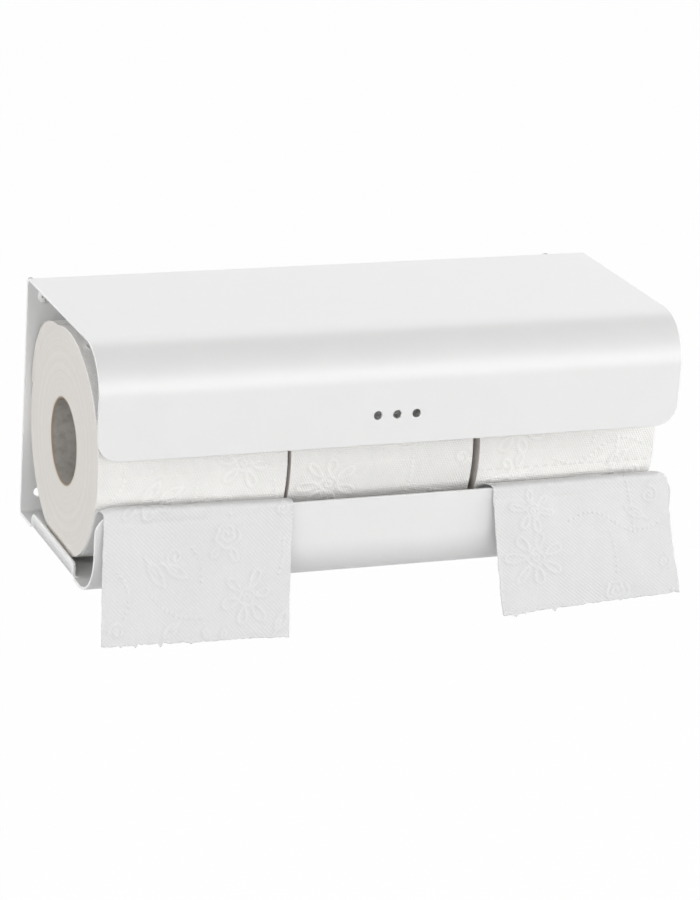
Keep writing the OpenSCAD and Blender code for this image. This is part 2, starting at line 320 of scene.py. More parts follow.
def new_material(name, **shader):
    """Material with one Principled shader whose even values are set on its own sockets."""
    material = bpy.data.materials.new(name)
    material.use_nodes = True
    tree = material.node_tree
    tree.nodes.clear()
    surface = add_node(tree, "ShaderNodeBsdfPrincipled", shader)
    tree.links.new(surface.outputs[0], tree.nodes.new("ShaderNodeOutputMaterial").inputs[0])
    coords = tree.nodes.new("ShaderNodeTexCoord").outputs
    return material, tree, surface, coords


def grained(tree, coords, coarse, fine, share):
    """Mask and height of the even grain, with so many waves per metre and that fine share."""
    return use_group(tree, GRAIN, {"Place": coords["Object"], "Coarse": coarse, "Fine": fine,
                                   "Fine share": share})


def mix_colour(tree, share, first, second, kind="MIX"):
    """The first colour with so much of the second mixed in, or multiplied by it."""
    return add_node(tree, "ShaderNodeMix", {0: share, 6: first, 7: second}, data_type="RGBA",
                    blend_type=kind).outputs[2]


def blend_colour(tree, mask, low, high, start, end):
    """Colour from low to high as mask goes from start to end."""
    ramp = tree.nodes.new("ShaderNodeValToRGB")
    ramp.color_ramp.elements[0].position = start
    ramp.color_ramp.elements[0].color = (*low, 1.0)
    ramp.color_ramp.elements[1].position = end
    ramp.color_ramp.elements[1].color = (*high, 1.0)
    tree.links.new(mask, ramp.inputs[0])
    return ramp.outputs[0]


def raise_normal(tree, height, distance, under=None):
    """Normal of a surface raised by height times distance, in metres, over another normal."""
    inputs = {"Height": height, "Distance": distance}
    if under is not None:
        inputs["Normal"] = under
    return add_node(tree, "ShaderNodeBump", inputs).outputs[0]


def make_powder_coat():
    """White satin powder coat: fine orange peel, faint mottling, and duller here and there."""
    material, tree, surface, coords = new_material(
        "powder_coat", **{"Roughness": 0.32, "IOR": 1.5, "Specular IOR Level": 0.8})
    peel = grained(tree, coords, coarse=700.0, fine=2200.0, share=0.25)
    mottle = grained(tree, coords, coarse=60.0, fine=420.0, share=0.4)
    feed(tree, surface, {
        "Base Color": blend_colour(tree, mottle["Height"], low=(0.805, 0.805, 0.802),
                                   high=(0.817, 0.817, 0.814), start=0.4, end=0.95),
        "Roughness": remap(tree, mottle["Mask"], start=0.3, end=0.7, low=0.3, high=0.34),
        "Normal": raise_normal(tree, peel["Height"], distance=0.00003),
    })
    return material


def make_tissue(name, first, second, crossing, weave_depth, low, high):
    """Soft white tissue from the colour low to high: a pressed weave that is fainter in places and
    has painted shade in its hollows, fibres, and a raised pattern with a painted highlight on
    its crests and painted shade at the foot of its flanks."""
    material, tree, surface, coords = new_material(
        name, **{"Roughness": 0.85, "IOR": 1.45, "Sheen Weight": 0.1, "Sheen Roughness": 0.6,
                 "Specular IOR Level": 0.3})
    weave = use_group(tree, WEAVE, {"Run": coords["UV"], "First": first, "Second": second,
                                    "Crossing": crossing})
    fibre = grained(tree, coords, coarse=520.0, fine=2600.0, share=0.6)
    shade = blend_colour(tree, fibre["Height"], low, high, start=0.45, end=1.1)
    patchy = remap(tree, fibre["Mask"], start=0.35, end=0.65, low=0.55, high=1.0)
    threads = calc(tree, "MULTIPLY", weave["Height"], patchy)
    # Painted shade: the base colour is up to 5% darker in the weave's hollows
    thread = remap(tree, threads, start=-1.0 - crossing, end=0.6, low=0.95, high=1.0)
    # Painted highlight on the relief's crests and painted shade at its flank feet and perforation
    # dashes, multiplied into the base colour
    painted_relief_factor = calc(tree, "MULTIPLY_ADD", marked(tree, "painted_relief_shading"), PAINTED_RELIEF_SHADING_SHARE, 1.0)
    woven = raise_normal(tree, threads, weave_depth)
    feed(tree, surface, {
        "Base Color": mix_colour(tree, 1.0, shade, calc(tree, "MULTIPLY", thread, painted_relief_factor),
                                 "MULTIPLY"),
        "Normal": raise_normal(tree, fibre["Height"], FIBRE_DEPTH, under=woven),
    })
    return material


def make_tissue_cut():
    """Cut ends of the wound paper: wandering turn edges, warm grey, with a few pale flecks."""
    material, tree, surface, coords = new_material(
        "tissue_cut", **{"Roughness": 0.95, "IOR": 1.4, "Specular IOR Level": 0.2})
    rings = use_group(tree, TURN_RINGS, {"Run": coords["UV"], "Place": coords["Object"],
                                         "Wander": 0.0016})
    fibre = grained(tree, coords, coarse=260.0, fine=2400.0, share=0.7)
    fine_turns = calc(tree, "MULTIPLY", rings["Height"], TURN_SHARE)
    turns = calc(tree, "MULTIPLY_ADD", rings["Mask"], TURN_SHARE, fine_turns)
    both = calc(tree, "MULTIPLY_ADD", fibre["Height"], FLECK_SHARE, turns)
    ringed = raise_normal(tree, rings["Height"], distance=0.00003)
    feed(tree, surface, {
        "Base Color": blend_colour(tree, both, low=(0.7, 0.672, 0.637),
                                   high=(0.752, 0.727, 0.693), start=0.36, end=0.7),
        "Normal": raise_normal(tree, fibre["Height"], distance=0.0001, under=ringed),
    })
    return material


def make_board():
    """Grey-brown cardboard of the tubes: pressed fibres, darker specks and browner cut edges."""
    material, tree, surface, coords = new_material(
        "tube_board", **{"Roughness": 0.88, "IOR": 1.45, "Specular IOR Level": 0.3})
    fibre = grained(tree, coords, coarse=210.0, fine=1900.0, share=0.8)
    shade = blend_colour(tree, fibre["Height"], low=(0.37, 0.347, 0.32),
                         high=(0.50, 0.475, 0.445), start=0.62, end=1.1)
    feed(tree, surface, {
        "Base Color": mix_colour(tree, marked(tree, "edge"), shade, EDGE_BROWN),
        "Normal": raise_normal(tree, fibre["Height"], distance=0.00009),
    })
    return material


def make_screw_paint():
    """White paint on the screws, rubbed through to steel at the thread's crests."""
    material, tree, surface, coords = new_material(
        "screw_paint", **{"Roughness": 0.32, "IOR": 1.5})
    grain = grained(tree, coords, coarse=500.0, fine=2600.0, share=0.5)
    uneven = calc(tree, "MULTIPLY_ADD", grain["Mask"], 1.2, 0.2)
    bare = calc(tree, "MULTIPLY", marked(tree, "worn"), uneven)
    feed(tree, surface, {
        "Base Color": blend_colour(tree, bare, low=(0.82, 0.82, 0.81),
                                   high=(0.48, 0.48, 0.47), start=0.35, end=0.75),
        "Metallic": calc(tree, "GREATER_THAN", bare, BARE_FROM),
        "Normal": raise_normal(tree, grain["Height"], distance=0.00003),
    })
    return material


# Share of the base colour in the painted highlight on the relief's crests and the painted shade at
# its flank feet
PAINTED_RELIEF_SHADING_SHARE = 0.03
FIBRE_DEPTH = 0.000015
TURN_SHARE = 0.35
FLECK_SHARE = 0.2
EDGE_BROWN = (0.40, 0.32, 0.23, 1.0)
BARE_FROM = 0.55
POWDER_COAT = make_powder_coat()
TISSUE = make_tissue("tissue_side", first=(930.0, 0.0, 0.0), second=(375.0, 735.0, 0.0),
                     crossing=0.9, weave_depth=0.00008, low=(0.882, 0.869, 0.852),
                     high=(0.904, 0.892, 0.876))
TAIL_TISSUE = make_tissue("tissue_tail", first=(-462.0, 448.0, 0.0), second=(430.0, 560.0, 0.0),
                          crossing=0.9, weave_depth=0.00005, low=(0.77, 0.77, 0.77),
                          high=(0.80, 0.80, 0.80))
TISSUE_CUT = make_tissue_cut()
BOARD = make_board()
SCREW_PAINT = make_screw_paint()

# Holder sheet: a flat blank with its outline and holes, bent along the folded section

EDGE_R = 0.42
MIDDLE = SHEET_T / 2.0
RIM_STEPS = (0.0, 0.08, 0.26, 0.56, 1.0)
OUTLINE_STEP = 1.0
TAB_SLACK = 0.01
LEAST_SINE = 0.4
# Spacing of the net that fills the sheet's faces, in mm and in degrees round the bends
FLAT_STEP = 8.0
TIGHT_BEND_STEP = 9.0
WIDE_BEND_STEP = 3.0
WIDE_BEND_R = 5.0
NET_HALF = 156.0
NET_COLS = 53
NET_GAP = 0.62
MERGE_GAP = 1e-6
POINTS_AT_ONCE = 2000


def section_runs():
    """Stretches of the folded section from the flap's edge to the lip's edge.

    Each is its length, where it starts or its bend's middle, its heading and its bend radius.
    Distances are from the wall and heights from the tray's underside, along the sheet's
    middle. A radius of 0 is a straight run."""
    tight = TIGHT_R - MIDDLE
    quarter = np.pi / 2.0
    return [
        (HOLDER_H - COVER_R - FLAP_BOTTOM_Z, (COVER_D - MIDDLE, FLAP_BOTTOM_Z), quarter, 0.0),
        ((COVER_R - MIDDLE) * quarter, (COVER_D - COVER_R, HOLDER_H - COVER_R), quarter,
         COVER_R - MIDDLE),
        (COVER_D - COVER_R - TIGHT_R, (COVER_D - COVER_R, HOLDER_H - MIDDLE), np.pi, 0.0),
        (tight * quarter, (TIGHT_R, HOLDER_H - TIGHT_R), np.pi, tight),
        (HOLDER_H - 2.0 * TIGHT_R, (MIDDLE, HOLDER_H - TIGHT_R), 3.0 * quarter, 0.0),
        (tight * quarter, (TIGHT_R, TIGHT_R), 3.0 * quarter, tight),
        (TRAY_D - TRAY_R - TIGHT_R, (TIGHT_R, MIDDLE), 2.0 * np.pi, 0.0),
        ((TRAY_R - MIDDLE) * quarter, (TRAY_D - TRAY_R, TRAY_R), 2.0 * np.pi, TRAY_R - MIDDLE),
        (LIP_TOP_Z - TRAY_R, (TRAY_D - MIDDLE, TRAY_R), 5.0 * quarter, 0.0),
    ]


RUNS = section_runs()
RUN_STARTS = np.concatenate([[0.0], np.cumsum([run[0] for run in RUNS])])
BLANK_L = RUN_STARTS[-1]
FLOOR_S = RUN_STARTS[6]
TAB_REAR_S = FLOOR_S + TAB_REAR - TIGHT_R
TAB_FRONT_S = FLOOR_S + TAB_FRONT - TIGHT_R
FOLD_X = HOLDER_W / 2.0 - TIGHT_R


def along_section(s):
    """Distance from the wall, height, and outward direction of the sheet's middle at length s."""
    far = np.zeros_like(s)
    high = np.zeros_like(s)
    out_far = np.zeros_like(s)
    out_high = np.zeros_like(s)
    for number, (length, base, heading, radius) in enumerate(RUNS):
        first, last = RUN_STARTS[number], RUN_STARTS[number + 1]
        here = (s >= first) & ((s < last) | (number == len(RUNS) - 1))
        if number == 0:
            here |= s < first
        ahead = s[here] - first
        angle = heading + (ahead / radius if radius else 0.0) * np.ones_like(ahead)
        out_far[here] = np.sin(angle)
        out_high[here] = -np.cos(angle)
        if radius:
            far[here] = base[0] + radius * np.sin(angle)
            high[here] = base[1] - radius * np.cos(angle)
        else:
            far[here] = base[0] + ahead * np.cos(angle)
            high[here] = base[1] + ahead * np.sin(angle)
    return far, high, out_far, out_high


def bend_blank(s, x, depth, lean_s, lean_x, lean_out):
    """Blank point s, x at depth from the sheet's middle, bent to its place, and its normal.

    The normal leans by lean_s and lean_x in the blank's plane and by lean_out out of it. Past
    the fold line beside the tray floor the blank is an end tab, which turns up about that line
    on a quarter circle and then goes straight up."""
    far, high, out_far, out_high = along_section(s)
    past = np.abs(x) - FOLD_X
    in_tab = (past > 0.0) & (s > TAB_REAR_S - TAB_SLACK) & (s < TAB_FRONT_S + TAB_SLACK)
    points = np.stack([x, -(far + depth * out_far), high + depth * out_high], -1)
    way_s = np.stack([np.zeros_like(s), out_high, out_far], -1)
    way_x = np.tile([1.0, 0.0, 0.0], (len(s), 1))
    way_out = np.stack([np.zeros_like(s), -out_far, out_high], -1)
    side = np.sign(x)
    tight = TIGHT_R - MIDDLE
    angle = np.clip(past / tight, 0.0, np.pi / 2.0)
    extra = np.maximum(past - tight * np.pi / 2.0, 0.0)
    tab_points = np.stack([
        side * (FOLD_X + (tight + depth) * np.sin(angle)),
        -far,
        TIGHT_R - (tight + depth) * np.cos(angle) + extra,
    ], -1)
    tab_x = np.stack([np.cos(angle), np.zeros_like(s), side * np.sin(angle)], -1)
    tab_out = np.stack([side * np.sin(angle), np.zeros_like(s), -np.cos(angle)], -1)
    points[in_tab] = tab_points[in_tab]
    way_x[in_tab] = tab_x[in_tab]
    way_out[in_tab] = tab_out[in_tab]
    normals = lean_s[:, None] * way_s + lean_x[:, None] * way_x + lean_out[:, None] * way_out
    return points, normals


def arc(centre, radius, start, end, steps):
    """Points on a circle from the angle start to end, in degrees, both ends included."""
    angle = np.radians(np.linspace(start, end, steps + 1))
    return np.stack([centre[0] + radius * np.cos(angle), centre[1] + radius * np.sin(angle)], -1)


def hole(centre, diameter, steps):
    """Round hole that runs clockwise, so that the metal is on its left."""
    return arc(centre, diameter / 2.0, 360, 0, steps)[:-1]


def spaced(points):
    """Closed outline with points put in, so that no two are more than OUTLINE_STEP apart."""
    out = []
    for here, after in zip(points, np.roll(points, -1, axis=0)):
        pieces = max(1, int(math.ceil(np.linalg.norm(after - here) / OUTLINE_STEP)))
        share = np.arange(pieces)[:, None] / pieces
        out.append(here + share * (after - here))
    return np.concatenate(out)


def inward(outline):
    """Direction into the metal at each point of an outline that has the metal on its left.

    Also how much further a corner goes that way to keep its two sides' distance."""
    after = np.roll(outline, -1, axis=0) - outline
    before = outline - np.roll(outline, 1, axis=0)
    after /= np.linalg.norm(after, axis=1)[:, None]
    before /= np.linalg.norm(before, axis=1)[:, None]
    left = np.stack([-(after + before)[:, 1], (after + before)[:, 0]], -1)
    left /= np.linalg.norm(left, axis=1)[:, None]
    sine = np.sum(left * np.stack([-after[:, 1], after[:, 0]], -1), axis=1)
    return left, 1.0 / np.maximum(LEAST_SINE, sine)


def blank_outline():
    """Right half of the blank's outline with x up the page and s to the right, then its mirror.

    The metal is on the left of it, so it runs from the flap's edge to the lip's edge below
    the middle line and back above it."""
    half = HOLDER_W / 2.0
    tab_x = FOLD_X + (TIGHT_R - MIDDLE) * np.pi / 2.0 + TAB_H - TIGHT_R
    rear, front = TAB_REAR_S, TAB_FRONT_S
    upper = np.concatenate([
        arc((BLANK_L - LIP_CORNER_R, half - LIP_CORNER_R), LIP_CORNER_R, 0, 90, steps=18),
        [(front + RELIEF_W, half), (front + RELIEF_W, FOLD_X), (front, FOLD_X)],
        arc((front - TAB_FRONT_R, tab_x - TAB_FRONT_R), TAB_FRONT_R, 0, 90, steps=6),
        arc((rear + TAB_REAR_R, tab_x - TAB_REAR_R), TAB_REAR_R, 90, 180, steps=12),
        [(rear, FOLD_X), (rear - RELIEF_W, FOLD_X), (rear - RELIEF_W, half)],
        arc((FLAP_CORNER_R, half - FLAP_CORNER_R), FLAP_CORNER_R, 90, 180, steps=20),
    ])
    lower = upper[::-1] * [1.0, -1.0]
    return spaced(np.concatenate([upper, lower]))


def blank_holes():
    """Outlines of the screw holes and sight holes, each with the metal on its left."""
    plate_top = RUN_STARTS[4] + HOLDER_H - TIGHT_R
    screw_holes = [hole((plate_top - z, x), SCREW_HOLE_D, steps=56)
                   for x in (-HOLE_X, HOLE_X) for z in SCREW_HOLES_Z]
    sight_holes = [hole((SIGHT_Z - FLAP_BOTTOM_Z, place * SIGHT_PITCH), SIGHT_HOLE_D, steps=48)
                   for place in (-1, 0, 1)]
    return screw_holes + sight_holes


def in_parts(points, test):
    """The test's answer for every point, worked out for POINTS_AT_ONCE of them at a time."""
    starts = range(0, len(points), POINTS_AT_ONCE)
    return np.concatenate([test(points[k:k + POINTS_AT_ONCE, None, :]) for k in starts])


def inside(points, loop):
    """True for each point that lies in the closed loop, by counting the sides it crosses."""
    a, b = loop, np.roll(loop, -1, axis=0)
    rise = np.where(b[:, 1] == a[:, 1], 1.0, b[:, 1] - a[:, 1])

    def odd_crossings(p):
        between = (a[:, 1] > p[..., 1]) != (b[:, 1] > p[..., 1])
        cross_at = a[:, 0] + (p[..., 1] - a[:, 1]) * (b[:, 0] - a[:, 0]) / rise
        return np.sum(between & (p[..., 0] < cross_at), axis=1) % 2 == 1

    return in_parts(points, odd_crossings)


def blank_grid():
    """Points inside the blank: rows of lengths, close together in the bends, and even columns."""
    lengths = []
    for number, (length, _, _, radius) in enumerate(RUNS):
        turn = TIGHT_BEND_STEP if radius < WIDE_BEND_R else WIDE_BEND_STEP
        step = radius * math.radians(turn) if radius else FLAT_STEP
        lengths.append(np.linspace(RUN_STARTS[number], RUN_STARTS[number + 1],
                                   max(2, int(round(length / step))) + 1)[:-1])
    s, x = np.meshgrid(np.concatenate(lengths), np.linspace(-NET_HALF, NET_HALF, NET_COLS),
                       indexing="ij")
    return np.stack([s.ravel(), x.ravel()], -1)


def far_from(points, others, least):
    """True for each point that is at least that far from all the others."""
    return in_parts(points, lambda p: np.min(np.sum((p - others) ** 2, -1), 1) > least ** 2)


def in_metal(points, loops):
    """True for each point inside the first loop and outside all the others."""
    keep = inside(points, loops[0])
    for hole_loop in loops[1:]:
        keep &= ~inside(points, hole_loop)
    return keep


def blank_rows(places, depth, lean, lean_out):
    """Rows of places, depth, lean in the blank's plane and lean out of it, for bend_blank."""
    size = len(places)
    return np.column_stack([places, np.full(size, depth), lean, np.full(size, lean_out)])


def make_holder():
    """The folded sheet. Rims step in from every outline while the sheet thickens on a quarter
    circle, a triangle net fills both faces, and all of it is bent as one blank."""
    rows, faces, inner_loops, inner_numbers = [], [], [], []
    count = 0
    rims = len(RIM_STEPS)
    for loop in [blank_outline()] + blank_holes():
        left, stretch = inward(loop)
        size = len(loop)
        ring = []
        for share in RIM_STEPS:
            move = EDGE_R * share
            placed = loop + left * (move * stretch)[:, None]
            thick = MIDDLE - EDGE_R + math.sqrt(EDGE_R ** 2 - (EDGE_R - move) ** 2)
            rise = math.sqrt(max(0.0, 1.0 - (1.0 - share) ** 2))
            ring.append((placed, thick, -(1.0 - share) * left, rise))
        order = [(ring[k], -1.0) for k in range(rims - 1, -1, -1)]
        order += [(ring[k], 1.0) for k in range(rims)]
        for (placed, thick, lean, rise), side in order:
            rows.append(blank_rows(placed, side * thick, lean, side * rise))
        quads, _, _ = grid_faces(2 * rims, size, ring_cols=True)
        faces.append(quads + count)
        inner_loops.append(ring[-1][0])
        inner_numbers.append((count + np.arange(size),
                              count + (2 * rims - 1) * size + np.arange(size)))
        count += 2 * rims * size
    edge = np.concatenate(inner_loops)
    free = blank_grid()
    free = free[in_metal(free, inner_loops)]
    free = free[far_from(free, edge, NET_GAP)]
    flat = np.concatenate([edge, free])
    sides, base = [], 0
    for loop in inner_loops:
        number = base + np.arange(len(loop))
        sides.append(np.stack([number, np.roll(number, -1)], -1))
        base += len(loop)
    found = delaunay_2d_cdt([Vector(p) for p in flat.tolist()],
                            np.concatenate(sides).tolist(), [], 0, MERGE_GAP, False)
    net = np.array([face for face in found[2] if len(face) == 3])
    net_points = np.array([tuple(p) for p in found[0]])
    net = net[in_metal(net_points[net].mean(axis=1), inner_loops)]
    under = np.concatenate([pair[0] for pair in inner_numbers])
    upper = np.concatenate([pair[1] for pair in inner_numbers])
    extra = len(free)
    tables = []
    for side, table in ((-1.0, under), (1.0, upper)):
        rows.append(blank_rows(free, side * MIDDLE, np.zeros((extra, 2)), side))
        tables.append(np.concatenate([table, count + np.arange(extra)]))
        count += extra
    points, normals = bend_blank(*np.concatenate(rows).T)
    quads = np.concatenate(faces)
    triangles = np.concatenate([
        quads[:, [0, 1, 2]], quads[:, [0, 2, 3]], tables[0][net], tables[1][net]])
    corner = points[triangles]
    facing = np.cross(corner[:, 1] - corner[:, 0], corner[:, 2] - corner[:, 0])
    wanted = normals[triangles].sum(axis=1)
    wrong = np.sum(facing * wanted, axis=1) < 0.0
    triangles[wrong] = triangles[wrong][:, ::-1]
    holder = put_mesh("holder_sheet", points, triangles, [POWDER_COAT], normals=normals)
    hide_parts("holder")
    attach(holder, "root")


# Embossing: one sheet's worth of raised lines and dots, which repeats along the paper

TILE_RUN = math.pi * ROLL_D / 3.0
TILE_STEP = 0.25
TILE_SHAPE = (int(round(TILE_RUN / TILE_STEP)), int(round(ROLL_W / TILE_STEP)) + 1)
LINE_WIDTH = 0.58
LINE_RISE = 0.62
DOT_RADIUS = 0.95
DOT_RISE = 0.85
DOT_PITCH = 2.6
FOOT_SHARE = 0.25
FOOT_WIDTH = 2.4 * LINE_WIDTH
PRESS_REACH = 4.0 * LINE_WIDTH
LINE_PART = 40


def press(tile, line, profile, reach):
    """Raises the tile to profile of the distance from the nearest point of line, if higher."""
    run_step = TILE_RUN / TILE_SHAPE[0]
    low = np.floor((line.min(axis=0) - reach) / [run_step, TILE_STEP]).astype(int)
    high = np.ceil((line.max(axis=0) + reach) / [run_step, TILE_STEP]).astype(int) + 1
    rows = np.arange(low[0], high[0])
    cols = np.arange(max(0, low[1]), min(TILE_SHAPE[1], high[1]))
    nearest = np.full((len(rows), len(cols)), np.inf)
    for part in np.array_split(line, max(1, len(line) // LINE_PART)):
        run_gap = (rows[:, None] * run_step - part[None, :, 0]) ** 2
        side_gap = (cols[:, None] * TILE_STEP - part[None, :, 1]) ** 2
        gap = run_gap[:, None, :] + side_gap[None, :, :]
        nearest = np.minimum(nearest, gap.min(axis=2))
    raised = profile(np.sqrt(nearest))
    rows = rows % TILE_SHAPE[0]
    tile[rows[:, None], cols] = np.maximum(tile[rows[:, None], cols], raised)


def ridge(gap):
    """Height of a raised line at that distance from its middle: a narrow bell on a wide one."""
    narrow = np.exp(-(gap / LINE_WIDTH) ** 2)
    wide = np.exp(-(gap / FOOT_WIDTH) ** 2)
    return LINE_RISE * ((1.0 - FOOT_SHARE) * narrow + FOOT_SHARE * wide)


def dot(gap):
    """Height of a raised dot at that distance from its middle: a dome with a level foot."""
    return DOT_RISE * np.clip(1.0 - (gap / DOT_RADIUS) ** 2, 0.0, 1.0) ** 1.5


def placed(line, centre, turn):
    """Line turned by turn degrees about its own origin and moved to centre."""
    a = math.radians(turn)
    matrix = np.array([[math.cos(a), math.sin(a)], [-math.sin(a), math.cos(a)]])
    return line @ matrix + np.asarray(centre)


def petal(start, end, width, turn):
    """Narrow closed loop from start to end along an axis turned by turn degrees."""
    t = np.linspace(0.0, 2.0 * np.pi, 110)
    out = 0.5 - 0.5 * np.cos(t)
    loop = np.stack([start + (end - start) * out, width * np.sin(t) * (0.55 + 0.45 * out)], -1)
    return placed(loop, (0.0, 0.0), turn)


def flower(petals, radius, seed):
    """Uneven narrow petals round a squarish ring, with a small heart in the ring."""
    rng = np.random.default_rng(seed)
    t = np.linspace(0.0, 2.0 * np.pi, 90)
    eye = 0.26 * radius * (1.0 + 0.09 * np.cos(4.0 * t + 1.0))
    heart = 0.1 * radius
    lines = [np.stack([eye * np.cos(t), eye * np.sin(t)], -1),
             np.stack([heart * np.cos(t[::3]), heart * np.sin(t[::3])], -1)]
    for number in range(petals):
        reach = radius * rng.uniform(0.78, 1.0)
        turn = 360.0 * (number + rng.uniform(-0.14, 0.14)) / petals
        lines.append(petal(0.33 * radius, reach, radius * rng.uniform(0.13, 0.19), turn))
    return np.concatenate(lines)


def rose(radius):
    """Spiral whose turns wave, with two small petals below it."""
    t = np.linspace(0.1, 1.0, 300)
    a = 2.0 * np.pi * 2.3 * t
    r = radius * t * (1.0 + 0.09 * np.cos(5.0 * a))
    return np.concatenate([
        np.stack([r * np.cos(a), r * np.sin(a)], -1),
        petal(1.05 * radius, 2.0 * radius, 0.3 * radius, 20.0),
        petal(1.05 * radius, 1.8 * radius, 0.26 * radius, -38.0)])


def leaf(length, width):
    """Pointed loop on a short stalk, with a rib along half of it."""
    t = np.linspace(0.0, 1.0, 120)
    bow = width / 2.0 * np.sin(np.pi * t) ** 0.85
    rib = np.linspace(-0.22, 0.5, 60)
    return np.concatenate([
        np.stack([length * t, bow], -1),
        np.stack([length * t, -bow], -1),
        np.stack([length * rib, np.zeros_like(rib)], -1),
    ])


def curl(radius, turns):
    """Spiral that opens evenly and ends in a short tail."""
    t = np.linspace(0.08, 1.0, 240)
    a = 2.0 * np.pi * turns * t
    return np.stack([radius * t * np.cos(a), radius * t * np.sin(a)], -1)


def dotted(start, end, bow, swings=1.0):
    """Dots from start to end along a line that bows sideways in so many half waves."""
    start, end = np.asarray(start, float), np.asarray(end, float)
    way = end - start
    t = np.linspace(0.0, 1.0, int(round(np.linalg.norm(way) / DOT_PITCH)) + 1)[:, None]
    across = np.array([-way[1], way[0]]) / np.linalg.norm(way)
    return start + way * t + across * bow * np.sin(np.pi * swings * t)


def make_tile():
    """The raised pattern of one sheet, in millimetres of height."""
    tile = np.zeros(TILE_SHAPE)
    full = TILE_RUN
    # Each line with its middle's place along and across the sheet, and its turn in degrees
    lines = [
        (flower(7, 17.0, 3), (22.0, 21.0), 12.0),
        (flower(6, 15.0, 4), (75.0, 76.0), 40.0),
        (flower(6, 12.5, 5), (121.0, 21.0), 75.0),
        (rose(7.0), (44.0, 64.0), 5.0),
        (rose(6.0), (100.0, 60.0), 190.0),
        (leaf(15.0, 5.0), (56.0, 24.0), 35.0),
        (leaf(13.0, 4.5), (58.0, 33.0), 62.0),
        (leaf(11.0, 4.5), (92.0, 92.0), 150.0),
        (leaf(12.0, 5.0), (6.0, 84.0), 235.0),
        (leaf(10.0, 4.0), (86.0, 40.0), -50.0),
        (curl(4.6, 1.5), (54.0, 38.0), 160.0),
        (curl(5.0, 1.8), (118.0, 88.0), 250.0),
        (curl(4.2, 1.5), (88.0, 8.0), 90.0),
        (curl(4.0, 1.4), (32.0, 93.0), 20.0),
    ]
    for line, centre, turn in lines:
        press(tile, placed(line, centre, turn), ridge, PRESS_REACH)
    # Each row of dots with its two ends and how far it bows to the side
    rows = [
        dotted((12.0, 64.0), (34.0, 66.0), 1.0),
        dotted((50.0, 47.0), (66.0, 52.0), 2.0),
        dotted((48.0, 95.0), (64.0, 93.0), 1.0),
        dotted((60.0, 8.0), (82.0, 12.0), 4.0),
        dotted((84.0, 52.0), (72.0, 26.0), 4.0),
        dotted((102.0, 73.0), (full + 14.0, 78.0), 2.0),
        dotted((4.0, 42.0), (10.0, 92.0), 5.0, 2.0),
    ]
    for line in rows:
        press(tile, line, dot, DOT_RADIUS)
    return tile


TILE = make_tile()
PERFORATION_DASH = 5.2
PERFORATION_WIDTH = 0.55
PERFORATION_DEPTH = 0.28
# Strength of the painted shade along the perforation's dashes, taken off the relief mark
PERFORATION_PAINTED_SHADE = 3.2
# How the perforation's dash pattern is cut from a sine wave, and how the painted highlight and
# shade of the relief follow its height
DASH_LEVEL = 1.2
DASH_SWING = 2.4
CREST_GAIN = 1.6
CREST_START = 0.4
FOOT_GAIN = 9.0
FLANK_GAIN = 3.5
FLANK_START = 0.3


def emboss(run, side):
    """Height of the raised pattern at run along the paper and side across it, from the tile."""
    r = (np.asarray(run) / TILE_RUN % 1.0) * TILE_SHAPE[0]
    c = np.clip(np.asarray(side) / TILE_STEP, 0.0, TILE_SHAPE[1] - 1.001)
    r0, c0 = np.floor(r).astype(int), np.floor(c).astype(int)
    fr, fc = r - r0, c - c0
    r0 %= TILE_SHAPE[0]
    r1 = (r0 + 1) % TILE_SHAPE[0]
    near = TILE[r0, c0] * (1.0 - fc) + TILE[r0, c0 + 1] * fc
    after = TILE[r1, c0] * (1.0 - fc) + TILE[r1, c0 + 1] * fc
    return near * (1.0 - fr) + after * fr


def painted_relief_shading(run, side):
    """Painted light and shade of the raised pattern: up to 1 for a painted highlight on its
    crests, down to -1 for painted shade at the foot of its flanks.
    """
    share = emboss(run, side) / LINE_RISE
    top = smooth(CREST_GAIN * share - CREST_START)
    foot = smooth(FOOT_GAIN * share) * (1.0 - smooth(FLANK_GAIN * share - FLANK_START))
    return top - foot


def perforation(run, side):
    """Depth of the dashed line between two sheets, at the start of each tile."""
    gap = (np.asarray(run) / TILE_RUN + 0.5) % 1.0 - 0.5
    beat = np.sin(2.0 * np.pi * np.asarray(side) / PERFORATION_DASH)
    dash = smooth(DASH_LEVEL + DASH_SWING * beat)
    return PERFORATION_DEPTH * dash * np.exp(-(gap * TILE_RUN / PERFORATION_WIDTH) ** 2)


# Wound rolls, as rings whose section runs round the end faces, the edges and the outside

ROUND_STEPS = 540
SIDE_ROWS = 132
EDGE_ROWS = 5
END_ROWS = 15
SURFACE_R = ROLL_D / 2.0 - 0.6
PAPER_EDGE_R = 0.5
PATTERN_FADE = 2.5
# Unevenness of the outside, then of the end faces, and the end rows next to the bore
ROLL_WAVE = 0.07
ROLL_WAVE_R = 70.0
ROLL_WAVE_SLANT = 0.3
END_WAVE = 0.1
END_FADE = 2.0
TURN_WAVE = 0.03
TURN_STRETCH = 3.0
TURN_SWAY = 8.0
BORE_TUCK = 0.2
BORE_RIM = 0.15
END_FIRST = 0.6
END_LAST = 0.2
# Where each roll's paper starts in mm, where its tube's seam starts in radians, and its seed
ROLL_STARTS = {"left": (71.0, 0.6, 11), "middle": (33.0, 2.5, 16), "right": (9.4, 4.4, 21)}


